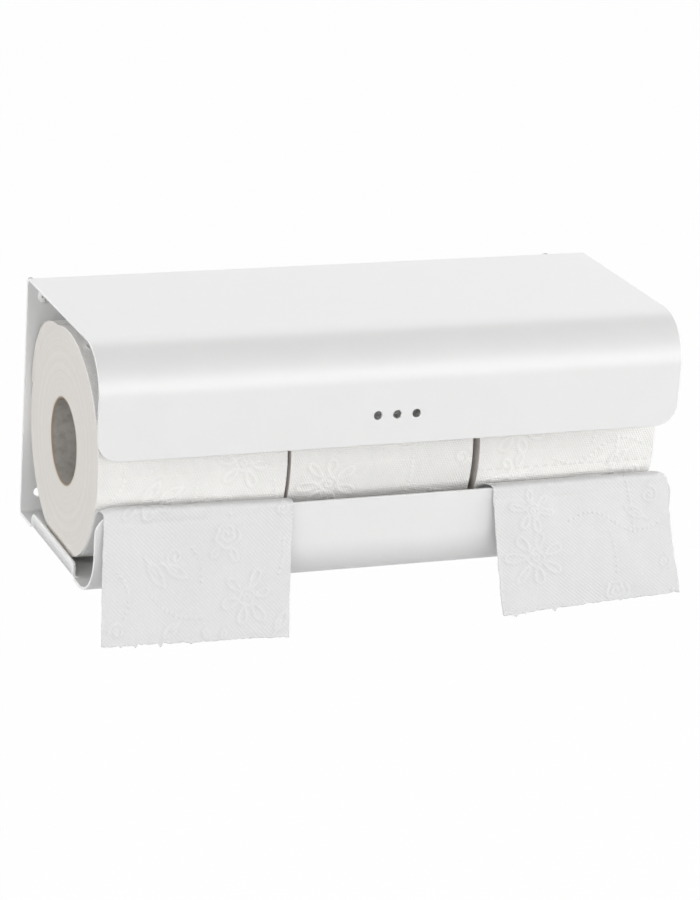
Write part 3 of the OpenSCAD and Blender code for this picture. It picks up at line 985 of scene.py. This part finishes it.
def roll_section():
    """Section of the wound paper: places along the roll, radii, and how much of each row is
    outside (1) or end face (0). It starts inside the bore and ends there."""
    bore = PAPER_BORE_D / 2.0
    edge = PAPER_EDGE_R
    end_radii = np.linspace(bore + END_FIRST, SURFACE_R - edge - END_LAST, END_ROWS - 4)
    radii = np.concatenate([[bore, bore, bore + BORE_RIM], end_radii, [SURFACE_R - edge]])
    inner = np.where(np.arange(END_ROWS) == 0, BORE_TUCK, 0.0)
    turn = np.linspace(0.0, np.pi / 2.0, EDGE_ROWS)[1:-1]
    sides = np.linspace(edge, ROLL_W - edge, SIDE_ROWS)
    place = np.concatenate([
        inner, edge - edge * np.cos(turn), sides,
        ROLL_W - edge + edge * np.sin(turn), ROLL_W - inner[::-1]])
    radius = np.concatenate([
        radii, SURFACE_R - edge + edge * np.sin(turn), np.full(SIDE_ROWS, SURFACE_R),
        SURFACE_R - edge + edge * np.cos(turn), radii[::-1]])
    outside = np.concatenate([
        np.zeros(END_ROWS), np.full(EDGE_ROWS - 2, 0.5), np.ones(SIDE_ROWS),
        np.full(EDGE_ROWS - 2, 0.5), np.zeros(END_ROWS)])
    return place, radius, outside


def make_roll(name, x0, body, node, first_run, seed):
    """One wound roll. The outside takes the raised pattern and slow waves, and the end faces
    stand in a little, more or less from turn to turn."""
    place, radius, outside = roll_section()
    angle = 2.0 * np.pi * np.arange(ROUND_STEPS) / ROUND_STEPS
    p, a = np.meshgrid(place, angle, indexing="ij")
    r = np.repeat(radius[:, None], ROUND_STEPS, axis=1)
    run = first_run + a * ROLL_D / 2.0
    window = within_sides(p, PAPER_EDGE_R, PATTERN_FADE)
    raised = emboss(run, p) - perforation(run, p)
    # Painted shade along the perforation's dashes, taken off the painted relief light and shade
    # that the tissue's colour follows
    perforation_painted_shade = PERFORATION_PAINTED_SHADE * perforation(run, p) / PERFORATION_DEPTH
    soft = slow_waves(ROLL_WAVE_R * np.cos(a) + ROLL_WAVE_SLANT * p, ROLL_WAVE_R * np.sin(a),
                      seed, reach=60.0)
    r += (outside[:, None] == 1.0) * window * raised
    r += (outside[:, None] > 0.0) * ROLL_WAVE * soft
    wobble = slow_waves(r * np.cos(a), r * np.sin(a), seed + 1, reach=26.0)
    turns = slow_waves(r * TURN_STRETCH, TURN_SWAY * np.cos(a), seed + 2, reach=9.0)
    inset = END_WAVE * wobble + TURN_WAVE * turns
    end = np.where(p < ROLL_W / 2.0, 1.0, -1.0) * (outside[:, None] == 0.0)
    x = x0 + p + end * (np.abs(inset) * smooth((SURFACE_R - r) / END_FADE))
    rows = len(place)
    faces, row, col = grid_faces(rows, ROUND_STEPS, ring_rows=True, ring_cols=True)
    outer = (outside[row[:, 0] % rows] + outside[row[:, 1] % rows]) > 0.9
    along = col * (ROLL_D / 2.0) * (2.0 * np.pi / ROUND_STEPS)
    v = np.where(outer[:, None], place[row % rows], radius[row % rows])
    uv = np.stack([along, v], -1)
    piece = put_mesh(name, about_rolls(x, r, a), faces[:, ::-1], [TISSUE, TISSUE_CUT],
                     loop_uv=uv[:, ::-1].reshape(-1, 2),
                     face_material=np.where(outer, 0, 1),
                     marks={"painted_relief_shading": ((painted_relief_shading(run, p) - perforation_painted_shade) * window).ravel()})
    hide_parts(node)
    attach(piece, body)


# Cardboard tubes

TUBE_ROUND = 144
TUBE_SEAM_PITCH = 150.0
TUBE_SEAM_DEPTH = 0.14
TUBE_SEAM_HALF = 0.45
TUBE_LAP_RISE = 0.06
TUBE_LAP_W = 6.0
TUBE_WAVE = 0.05
TUBE_WAVE_R = 40.0
TUBE_END = 1.5
TUBE_INSET = 0.15
TUBE_CORNER = 0.22
TUBE_ROWS = 60
SEAM_CROWDING = 0.35


def make_tube(name, x0, body, node, first_turn):
    """Tube wound on a slant: the grid follows the winding, so that the seam is a line of it,
    sunk by TUBE_SEAM_DEPTH inside and outside."""
    inner, outer = CORE_BORE_D / 2.0, CORE_D / 2.0
    steps = np.array([0.0, 0.3, 1.0]) * TUBE_CORNER
    lengths = np.concatenate([steps, np.linspace(TUBE_END, ROLL_W - TUBE_END, TUBE_ROWS),
                              ROLL_W - steps[::-1]])
    shrink = np.zeros(len(lengths))
    shrink[[0, -1]] = steps[2]
    shrink[[1, -2]] = steps[1]
    place = np.concatenate([lengths, lengths[::-1]])
    radius = np.concatenate([outer - shrink, (inner + shrink)[::-1]])
    within = (np.arange(len(place)) >= len(lengths))[:, None]
    angle = 2.0 * np.pi * np.arange(TUBE_ROUND) / TUBE_ROUND
    spread = angle - SEAM_CROWDING * np.sin(angle)
    p, a = np.meshgrid(place, spread, indexing="ij")
    lapse = np.minimum(a, 2.0 * np.pi - a) * outer
    seam = TUBE_SEAM_DEPTH * np.exp(-(lapse / TUBE_SEAM_HALF) ** 2)
    lap = TUBE_LAP_RISE * smooth(1.0 - a * outer / TUBE_LAP_W)
    wave = TUBE_WAVE * slow_waves(TUBE_WAVE_R * np.cos(a), p, seed=5, reach=30.0)
    r = radius[:, None] + np.where(within, seam - lap + wave, -seam)
    turned = a + first_turn + 2.0 * np.pi * p / TUBE_SEAM_PITCH
    x = x0 + TUBE_INSET + p * (ROLL_W - 2.0 * TUBE_INSET) / ROLL_W
    faces, _, _ = grid_faces(len(place), TUBE_ROUND, ring_rows=True, ring_cols=True)
    at_end = np.minimum(place, ROLL_W - place) <= TUBE_CORNER
    piece = put_mesh(name, about_rolls(x, r, turned), faces[:, ::-1], [BOARD],
                     marks={"edge": np.repeat(at_end, TUBE_ROUND) * 1.0})
    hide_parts(node)
    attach(piece, body)


# Loose outer turns of the left roll

LOOSE_H = 6.3
LOOSE_GAP = 0.3
# Middle of the bulge, up from the front, and half its spread, in degrees
LOOSE_A = 138.0
LOOSE_HALF = 40.0
LOOSE_END_T = 0.16
LOOSE_COLS = 170
LOOSE_ROWS = 150
LOOSE_RIM = 0.8
LOOSE_PROUD = 0.06
LOOSE_COVER = 2.4
LOOSE_LAP = 0.12
# How far the front edge settles onto the roll, and over what turn in radians
LOOSE_SETTLE = 0.85
SETTLE_TURN = 0.2
LOOSE_RELIEF = 0.8
LOOSE_SINK = 0.4
LOOSE_WAVE = 0.12
LOOSE_SWAY = 0.14
LOOSE_END_RUN = 7.0
# Thickness of the crescent where its lap and its relief start, and how soon they are full
LAP_FROM = 0.2
RELIEF_FROM = 0.4
THICK_OVER = 1.2
LOOSE_BACK_ROWS = 24
LOOSE_END_LEVELS = (0.0, 0.05, 0.35, 0.65, 0.96, 1.0)
BACK_GAP = 0.02


def make_loose_turns():
    """Crescent of loose turns over the left roll. Its outside is the roll's radius and a bulge
    by the square of a cosine, its inside keeps clear of the roll, and both run along the roll.

    Its front edge settles onto the roll. Each row of its section has its place along the roll,
    its share of the way from inside to outside, and how far it laps down the roll's end."""
    end = LOOSE_HALF / 90.0 * math.degrees(
        math.acos(math.sqrt((LOOSE_GAP + LOOSE_END_T) / LOOSE_H)))
    angles = np.radians(LOOSE_A + np.linspace(-end, end, LOOSE_COLS))
    bulge = LOOSE_H * np.cos(np.radians(90.0 * (np.degrees(angles) - LOOSE_A) / LOOSE_HALF)) ** 2
    settle = LOOSE_SETTLE * smooth((angles[0] + SETTLE_TURN - angles) / SETTLE_TURN)
    inner = ROLL_D / 2.0 + LOOSE_GAP - settle
    outer = ROLL_D / 2.0 + bulge - settle
    near, far = -LOOSE_PROUD, ROLL_W + LOOSE_PROUD
    lapped = [LOOSE_COVER, LOOSE_COVER - LOOSE_LAP]
    rows = np.concatenate([
        [[near, 0.0, depth] for depth in lapped],
        [[near, level, 0.0] for level in LOOSE_END_LEVELS],
        [[place, 1.0, 0.0] for place in np.linspace(0.0, ROLL_W, LOOSE_ROWS)[1:-1]],
        [[far, level, 0.0] for level in LOOSE_END_LEVELS[::-1]],
        [[far, 0.0, depth] for depth in lapped[::-1]],
        [[ROLL_W + BACK_GAP, 0.0, LOOSE_COVER]],
        [[place, 0.0, 0.0] for place in np.linspace(ROLL_W, 0.0, LOOSE_BACK_ROWS)],
        [[-BACK_GAP, 0.0, LOOSE_COVER]],
    ])
    p, a = np.meshgrid(rows[:, 0], angles, indexing="ij")
    share = np.repeat(rows[:, 1][:, None], LOOSE_COLS, axis=1)
    thick = outer - inner
    cover = rows[:, 2][:, None] * smooth((thick - LAP_FROM) / THICK_OVER)[None, :]
    r = inner[None, :] + share * thick[None, :] - cover
    run = a * ROLL_D / 2.0
    on_top = share == 1.0
    taper = smooth((thick - RELIEF_FROM) / THICK_OVER)[None, :]
    window = within_sides(p, 0.0, PATTERN_FADE)
    raised = LOOSE_RELIEF * window * emboss(run, p) - LOOSE_SINK
    raised = raised + LOOSE_WAVE * slow_waves(p, run, seed=31, reach=45.0)
    near_end = np.maximum(0.0, LOOSE_RIM - np.minimum(p, ROLL_W - p))
    rim = LOOSE_RIM - np.sqrt(np.maximum(0.0, LOOSE_RIM ** 2 - near_end ** 2))
    r = r + on_top * taper * (raised - rim)
    ripple = np.abs(slow_waves(r, run, seed=33, reach=20.0))
    sway = LOOSE_SWAY * np.sin(np.pi * share) * ripple
    side = (p == near) * 1.0 - (p == far) * 1.0
    x = ROLLS["left"] + p - side * sway
    count = len(rows)
    faces, row, col = grid_faces(count, LOOSE_COLS, ring_rows=True)
    at_end = (rows[:, 0] == near) | (rows[:, 0] == far)
    end_face = at_end[row[:, 0] % count] & at_end[row[:, 1] % count]
    spread = ROLL_D / 2.0 - LOOSE_END_RUN + LOOSE_END_RUN * share - cover
    v = np.where(end_face[:, None], spread[row % count, col], p[row % count, col])
    uv = np.stack([run[row % count, col], v], -1)
    # The mark carries the painted highlight and painted shade of the relief
    piece = put_mesh("loose_turns", about_rolls(x, r, a), faces[:, ::-1],
                     [TISSUE, TISSUE_CUT], loop_uv=uv[:, ::-1].reshape(-1, 2),
                     face_material=np.where(end_face, 1, 0), close=True,
                     marks={"painted_relief_shading": (painted_relief_shading(run, p) * window * on_top).ravel()})
    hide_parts("loose_turns_left")
    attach(piece, "root")


# Tissue tails

TISSUE_GAP = 0.3
TAIL_T = 0.28
TAIL_MIDDLE = 0.25
WRAP_R = ROLL_D / 2.0 + TISSUE_GAP + TAIL_MIDDLE
FOLD_R = 2.4
ROLL_C = np.array([-ROLL_Y, ROLL_Z])
FOLD_C = np.array([TRAY_D - 1.2, LIP_TOP_Z - 0.4])
OVER_LIP = FOLD_C - ROLL_C + np.array([0.0, FOLD_R])
BRIDGE_R = float((OVER_LIP @ OVER_LIP - WRAP_R ** 2) / (2.0 * (WRAP_R + OVER_LIP[1])))
LEAVE_A = math.atan2(OVER_LIP[1] - BRIDGE_R, OVER_LIP[0])
WRAP_TURN = 31.1
LEAVE_S = WRAP_R * math.radians(WRAP_TURN)
FOLD_S = LEAVE_S + BRIDGE_R * (math.pi / 2.0 + LEAVE_A)
HANG_S = FOLD_S + FOLD_R * math.pi / 2.0
TAIL_COLS = 200
TAIL_ROWS = 231
TAIL_RELIEF = 0.75
TAIL_SIDE_FADE = 2.0
TORN_REACH = 7.0
TORN_RIPPLE = 0.22
TORN_TEETH = 0.25
NIB_POWER = 0.8
LOW_MARGIN = 0.5
LOW_FADE = 2.0
FRAY_W = 6.0
FRAY_WAVE = 0.18
FREE_OVER = 6.0
# Shares of the hanging length over which the tail takes up its turn and its waves
TURN_OVER = 0.3
CLEAR_OVER = 0.12
CORNER_SAG = 0.9
SWING_POWER = 1.25
BIG_WAVE = 0.75
BIG_WAVE_SLANT = 0.7
SMALL_WAVE = 0.12
SMALL_WAVE_LEAST = 0.35
CREASE_RISE = 0.3
CREASE_DOWN = 4.2
CREASE_SWAY = 0.8
CREASE_SWAY_L = 21.0
CREASE_HALF = 1.5
CREASE_LENGTH = 60.0


def tail_path(s):
    """Middle of the tissue at length s: round the roll, in an arc to the lip, round it, down.

    The arc touches the roll's circle and is level over the lip. Also gives the direction
    across the tissue, away from the roll and then to the lip."""
    places = [s <= LEAVE_S, s <= FOLD_S, s <= HANG_S]
    wrap = LEAVE_A - (LEAVE_S - s) / WRAP_R
    bridge = LEAVE_A - (s - LEAVE_S) / BRIDGE_R
    fold = -math.pi / 2.0 - (s - FOLD_S) / FOLD_R
    angle = np.select(places, [wrap, bridge, fold], -math.pi)
    far, high = np.cos(angle), np.sin(angle)
    top = FOLD_C[1] + FOLD_R
    path_far = np.select(places, [
        ROLL_C[0] + WRAP_R * far, FOLD_C[0] - BRIDGE_R * far, FOLD_C[0] - FOLD_R * far],
        FOLD_C[0] + FOLD_R)
    path_high = np.select(places, [
        ROLL_C[1] + WRAP_R * high, top - BRIDGE_R - BRIDGE_R * high, FOLD_C[1] - FOLD_R * high],
        FOLD_C[1] + HANG_S - s)
    return path_far, path_high, far, high


def lip_drop(x):
    """How far the lip's edge has dropped at x, on its rounded corners."""
    past = np.clip(np.abs(x) - HOLDER_W / 2.0 + LIP_CORNER_R, 0.0, LIP_CORNER_R)
    return LIP_CORNER_R - np.sqrt(LIP_CORNER_R ** 2 - past ** 2)


def torn_edge(side, nibs, seed):
    """How far the torn lower edge reaches past its line: a fine ripple and a few paper nibs."""
    ripple = TORN_RIPPLE * slow_waves(side, np.zeros_like(side), seed, reach=5.0)
    teeth = TORN_TEETH * np.sin(2.0 * np.pi * side / (PERFORATION_DASH / 2.0)) ** 2
    edge = ripple + teeth
    for place, reach, width in nibs:
        edge = edge + reach * np.clip(1.0 - np.abs(side - place) / width, 0.0, 1.0) ** NIB_POWER
    return edge


def make_tail(name, node, x0, hang, slip, turn, swing, rise, first_run, nibs, seed):
    """One tail: a grid along its path and across it, as two faces on both sides of its middle.

    Where it hangs it takes up its turn over the first part, swings out towards its lower edge
    by a power of the share hung, and sags by the drop of the lip's corner where it crosses it.
    Over the lip its two side edges are raised by rise. A faint crease runs in below the lip,
    and the raised pattern starts where the tissue leaves the roll."""
    total = HANG_S + hang
    s, w = np.meshgrid(np.linspace(0.0, total, TAIL_ROWS), np.linspace(0.0, 1.0, TAIL_COLS),
                       indexing="ij")
    across = w * ROLL_W
    low = smooth((s - total + TORN_REACH) / TORN_REACH)
    fray = FRAY_WAVE * slow_waves(s, np.zeros_like(s), seed + 7, reach=9.0)
    x_fray = fray * (smooth(1.0 - across / FRAY_W) - smooth(1.0 - (ROLL_W - across) / FRAY_W))
    s = s + low * torn_edge(across, nibs, seed)
    path_far, path_high, far, high = tail_path(s)
    near = smooth((s - LEAVE_S) / (HANG_S - LEAVE_S))
    h = np.maximum(0.0, s - HANG_S)
    q = h / hang
    a = np.radians(turn) * smooth(q / TURN_OVER)
    x = x0 + across + slip * near + x_fray * near
    lifted = rise[0] * (1.0 - w) + rise[1] * w
    drop = (CORNER_SAG * lip_drop(x) - lifted) * near * (1.0 - np.minimum(q, 1.0))
    swung = (swing[0] * (1.0 - w) + swing[1] * w) * q ** SWING_POWER
    free = smooth((s - LEAVE_S) / FREE_OVER)
    clear = smooth(q / CLEAR_OVER)
    wave = BIG_WAVE * clear * slow_waves(across, BIG_WAVE_SLANT * s, seed + 3, reach=55.0)
    ruffle = slow_waves(across, s, seed + 4, reach=16.0)
    wave += SMALL_WAVE * free * ruffle * (SMALL_WAVE_LEAST + (1.0 - SMALL_WAVE_LEAST) * clear)
    below = s - HANG_S - CREASE_DOWN - CREASE_SWAY * np.sin(across / CREASE_SWAY_L)
    crease = CREASE_RISE * np.exp(-(below / CREASE_HALF) ** 2)
    wave += crease * smooth((ROLL_W - across) / CREASE_LENGTH)
    window = within_sides(across, 0.0, TAIL_SIDE_FADE) * free
    window = TAIL_RELIEF * window * smooth((total + LOW_MARGIN - s) / LOW_FADE)
    relief = -emboss(first_run + s, across) * window
    layers = []
    for side in (1.0, -1.0):
        lift = side * TAIL_T / 2.0 + relief + wave
        layers.append(np.stack([
            x + h * np.sin(a) - (1.0 - np.cos(a)) * across,
            -(path_far + lift * far + swung),
            path_high + lift * high - drop + (1.0 - np.cos(a)) * h + np.sin(a) * across * q,
        ], -1))
    points = np.concatenate([layers[0], layers[1][:, ::-1]], axis=1)
    rows, cols = points.shape[:2]
    faces, _, _ = grid_faces(rows, cols, ring_cols=True)
    number = np.arange(TAIL_COLS - 1)
    strip = np.stack([number, number + 1, cols - 2 - number, cols - 1 - number], -1)
    faces = np.concatenate([faces, strip, strip[:, ::-1] + (rows - 1) * cols])
    run = np.concatenate([s, s[:, ::-1]], axis=1) + first_run
    over = np.concatenate([across, across[:, ::-1]], axis=1)
    uv = np.stack([run.reshape(-1)[faces], over.reshape(-1)[faces]], -1)
    # Painted highlight on the relief's crests and painted shade at the foot of its flanks
    pale = painted_relief_shading(first_run + s, across) * window
    piece = put_mesh(name, points.reshape(-1, 3), faces, [TAIL_TISSUE],
                     loop_uv=uv.reshape(-1, 2),
                     marks={"painted_relief_shading": np.concatenate([pale, pale[:, ::-1]], axis=1).ravel()})
    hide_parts(node)
    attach(piece, "root")


# Screws

SCREW_ROUND = 96
HEAD_D = 8.0
HEAD_H = 2.2
HEAD_RIM_H = 0.5
RIM_ROUND = 0.1
UNDER_ROUND = 0.12
NECK_ROUND = 0.25
NECK_STEP = 0.2
NECK_R = 1.6
NECK_END = 3.5
SHANK_END = 27.0
SCREW_END = 32.0
THREAD_PITCH = 1.6
THREAD_ROOT = 1.45
THREAD_CREST = 2.0
CROSS_HALF_W = 0.45
CROSS_HALF_L = 2.1
CROSS_DEPTH = 1.15
CROSS_SIDE = 0.16
CROSS_END = 0.5
PIN_R = 0.02
DOME_ROWS = 56
SHANK_ROWS = 190
THREAD_HALF = 0.24
THREAD_START = 2.0


def make_screw(name, node, x0):
    """Screw of revolution, from the dome's middle to the point. The cross recess sinks the dome
    where either slot covers it, and the thread is a wedge that climbs one pitch a turn."""
    head_r = HEAD_D / 2.0
    dome_r = (head_r ** 2 + (HEAD_H - HEAD_RIM_H) ** 2) / (2 * (HEAD_H - HEAD_RIM_H))
    dome = np.linspace(PIN_R, head_r - RIM_ROUND, DOME_ROWS)
    dome_k = HEAD_H - dome_r + np.sqrt(dome_r ** 2 - dome ** 2)
    shank_k = np.linspace(-NECK_END, PIN_R - SCREW_END, SHANK_ROWS)
    taper = np.clip((shank_k + SCREW_END) / (SCREW_END - SHANK_END), 0.0, 1.0)
    # Radius and height of the rows round the head's rim and down its neck
    collar = np.array([
        (head_r - 0.03, HEAD_RIM_H + 0.02), (head_r, HEAD_RIM_H - RIM_ROUND),
        (head_r, UNDER_ROUND), (head_r - UNDER_ROUND, 0.0), (NECK_R + NECK_ROUND, 0.0),
        (NECK_R, -NECK_ROUND), (NECK_R, NECK_STEP - NECK_END)])
    radius = np.concatenate([dome, collar[:, 0], np.full(SHANK_ROWS, THREAD_ROOT)])
    k = np.concatenate([dome_k, collar[:, 1], shank_k])
    upper_rows = len(k) - SHANK_ROWS
    threaded = np.concatenate([np.zeros(upper_rows), np.ones(SHANK_ROWS)])
    narrow = np.concatenate([np.ones(upper_rows), taper])
    turn = 2.0 * np.pi * np.arange(SCREW_ROUND) / SCREW_ROUND
    k2, a = np.meshgrid(k, turn, indexing="ij")
    phase = (k2 / THREAD_PITCH + a / (2.0 * np.pi)) % 1.0
    wedge = np.clip(1.0 - np.abs(phase - 0.5) / THREAD_HALF, 0.0, 1.0)
    grown = smooth((-k2 - NECK_END) / THREAD_START)
    r = radius[:, None] + threaded[:, None] * wedge * grown * (THREAD_CREST - THREAD_ROOT)
    r = r * narrow[:, None]
    across, up = r * np.cos(a), r * np.sin(a)
    slots = [smooth((CROSS_HALF_W - np.abs(wide)) / CROSS_SIDE + 0.5)
             * smooth((CROSS_HALF_L - np.abs(long)) / CROSS_END + 0.5)
             for wide, long in ((across, up), (up, across))]
    on_dome = (np.arange(len(k)) < len(dome))[:, None]
    k2 = k2 - on_dome * CROSS_DEPTH * np.maximum(*slots)
    points = np.stack([x0 + across, -SHEET_T - k2, SCREW_HOLES_Z[1] + up], -1)
    faces, _, _ = grid_faces(len(k), SCREW_ROUND, ring_cols=True)
    piece = put_mesh(name, points.reshape(-1, 3), faces, [SCREW_PAINT], close=True,
                     marks={"worn": (wedge * threaded[:, None]).ravel()})
    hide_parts(node)
    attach(piece, "root")


make_holder()
for side, x in ROLLS.items():
    first_run, first_turn, seed = ROLL_STARTS[side]
    make_roll("roll_" + side, x, "roll_" + side, "paper_roll_" + side, first_run, seed)
    make_tube("tube_" + side, x, "roll_" + side, "core_" + side, first_turn)
make_loose_turns()
make_tail("tail_left", "tissue_tail_left", ROLLS["left"], hang=63.4, slip=0.0, turn=-2.0,
          swing=(12.0, 9.9), rise=(1.2, -1.1), first_run=-20.0,
          nibs=((10.0, 0.9, 1.2), (18.0, 1.2, 1.3), (31.0, 1.9, 1.5), (47.0, 0.8, 1.0)),
          seed=41)
make_tail("tail_right", "tissue_tail_right", ROLLS["right"], hang=64.1, slip=4.2, turn=3.7,
          swing=(14.7, 17.7), rise=(-1.3, -0.6), first_run=58.0,
          nibs=((7.0, 1.3, 1.6), (12.5, 0.8, 1.0), (29.0, 1.8, 1.6), (66.0, 0.7, 1.0)),
          seed=61)
make_screw("wall_screw_left", "screw_left", -HOLE_X)
make_screw("wall_screw_right", "screw_right", HOLE_X)

# Stage: pale floor, plain world and soft lamps

FLOOR_Z = -0.65
FLOOR_HALF = 12.0
FLOOR_GREY = 0.3
FLOOR_GLOW = 1.04
GLOW_SHARE = 0.94
AIM = np.array([0.0, -0.065, 0.06])


def make_floor():
    """Wide pale floor that the camera sees as white and that still takes the object's shadow."""
    corners = np.array([[-1, -1], [1, -1], [1, 1], [-1, 1]]) * FLOOR_HALF / MM
    points = np.concatenate([corners, np.full((4, 1), FLOOR_Z / MM)], axis=1)
    material = bpy.data.materials.new("pale_floor")
    material.use_nodes = True
    tree = material.node_tree
    tree.nodes.clear()
    path = tree.nodes.new("ShaderNodeLightPath").outputs
    plain = add_node(tree, "ShaderNodeBsdfDiffuse", {"Color": (*[FLOOR_GREY] * 3, 1.0)})
    white = add_node(tree, "ShaderNodeEmission", {"Strength": FLOOR_GLOW})
    seen = calc(tree, "MAXIMUM", path["Is Camera Ray"],
                calc(tree, "MAXIMUM", path["Is Glossy Ray"], path["Is Transmission Ray"]))
    share = calc(tree, "MULTIPLY", seen, GLOW_SHARE)
    mix = add_node(tree, "ShaderNodeMixShader",
                   {0: share, 1: plain.outputs[0], 2: white.outputs[0]})
    tree.links.new(mix.outputs[0], tree.nodes.new("ShaderNodeOutputMaterial").inputs[0])
    floor = put_mesh("floor", points, [[0, 1, 2, 3]], [material])


WORLD_STRENGTH = 3.12
# Degrees up from the front, past the zenith at 90 to the back, and the level there
WORLD_BANDS = ((-180.0, 0.4), (0.0, 1.0), (14.0, 0.85), (36.0, 0.14), (52.0, 0.01),
               (100.0, 0.01), (114.0, 0.14), (130.0, 0.66), (150.0, 0.5), (172.0, 0.44))


def make_world():
    """White to the camera. Its light comes in wide bands that run from left to right: from the
    front, and from above and behind, with darker bands between them."""
    world = bpy.data.worlds.new("studio")
    bpy.context.scene.world = world
    world.use_nodes = True
    tree = world.node_tree
    tree.nodes.clear()
    path = tree.nodes.new("ShaderNodeLightPath").outputs
    seen = calc(tree, "MAXIMUM", path["Is Camera Ray"], path["Is Transmission Ray"])
    way = add_node(tree, "ShaderNodeSeparateXYZ",
                   {0: tree.nodes.new("ShaderNodeTexCoord").outputs["Generated"]}).outputs
    ahead = calc(tree, "MULTIPLY", way["Y"], -1.0)
    climb = calc(tree, "ARCTAN2", way["Z"], ahead)
    bands = tree.nodes.new("ShaderNodeValToRGB")
    bands.color_ramp.interpolation = "EASE"
    tree.links.new(calc(tree, "MULTIPLY_ADD", climb, 0.5 / math.pi, 0.5), bands.inputs[0])
    stops = bands.color_ramp.elements
    for number, (angle, level) in enumerate(WORLD_BANDS):
        stop = stops[number] if number < 2 else stops.new(0.999)
        stop.position = angle / 360.0 + 0.5
        stop.color = (level, level, level, 1.0)
    lit = calc(tree, "MULTIPLY", bands.outputs[0], WORLD_STRENGTH)
    unseen = calc(tree, "SUBTRACT", 1.0, seen)
    strength = calc(tree, "MULTIPLY_ADD", lit, unseen, seen)
    back = add_node(tree, "ShaderNodeBackground",
                    {"Color": (1.0, 1.0, 1.0, 1.0), "Strength": strength})
    tree.links.new(back.outputs[0], tree.nodes.new("ShaderNodeOutputWorld").inputs[0])


def softbox(name, azimuth, elevation, distance, width, height, level):
    """Area lamp that faces the object. Azimuth 0 is in front, 90 to the right, in degrees."""
    a, e = math.radians(azimuth), math.radians(elevation)
    way = np.array([math.sin(a) * math.cos(e), -math.cos(a) * math.cos(e), math.sin(e)])
    lamp = bpy.data.lights.new(name, "AREA")
    lamp.shape = "RECTANGLE"
    lamp.size = width
    lamp.size_y = height
    lamp.energy = level * math.pi * width * height
    placed_lamp = bpy.data.objects.new(name, lamp)
    placed_lamp.location = AIM + way * distance
    placed_lamp.rotation_euler = Vector(way).to_track_quat("Z", "Y").to_euler()
    placed_lamp.visible_camera = False
    bpy.context.scene.collection.objects.link(placed_lamp)


make_floor()
make_world()
softbox("lamp_left", azimuth=-84.0, elevation=20.0, distance=1.9, width=1.8, height=1.2,
        level=1.47)
softbox("lamp_right", azimuth=73.0, elevation=22.0, distance=1.9, width=0.45, height=0.45,
        level=18.0)

bpy.context.scene.view_settings.view_transform = "Standard"
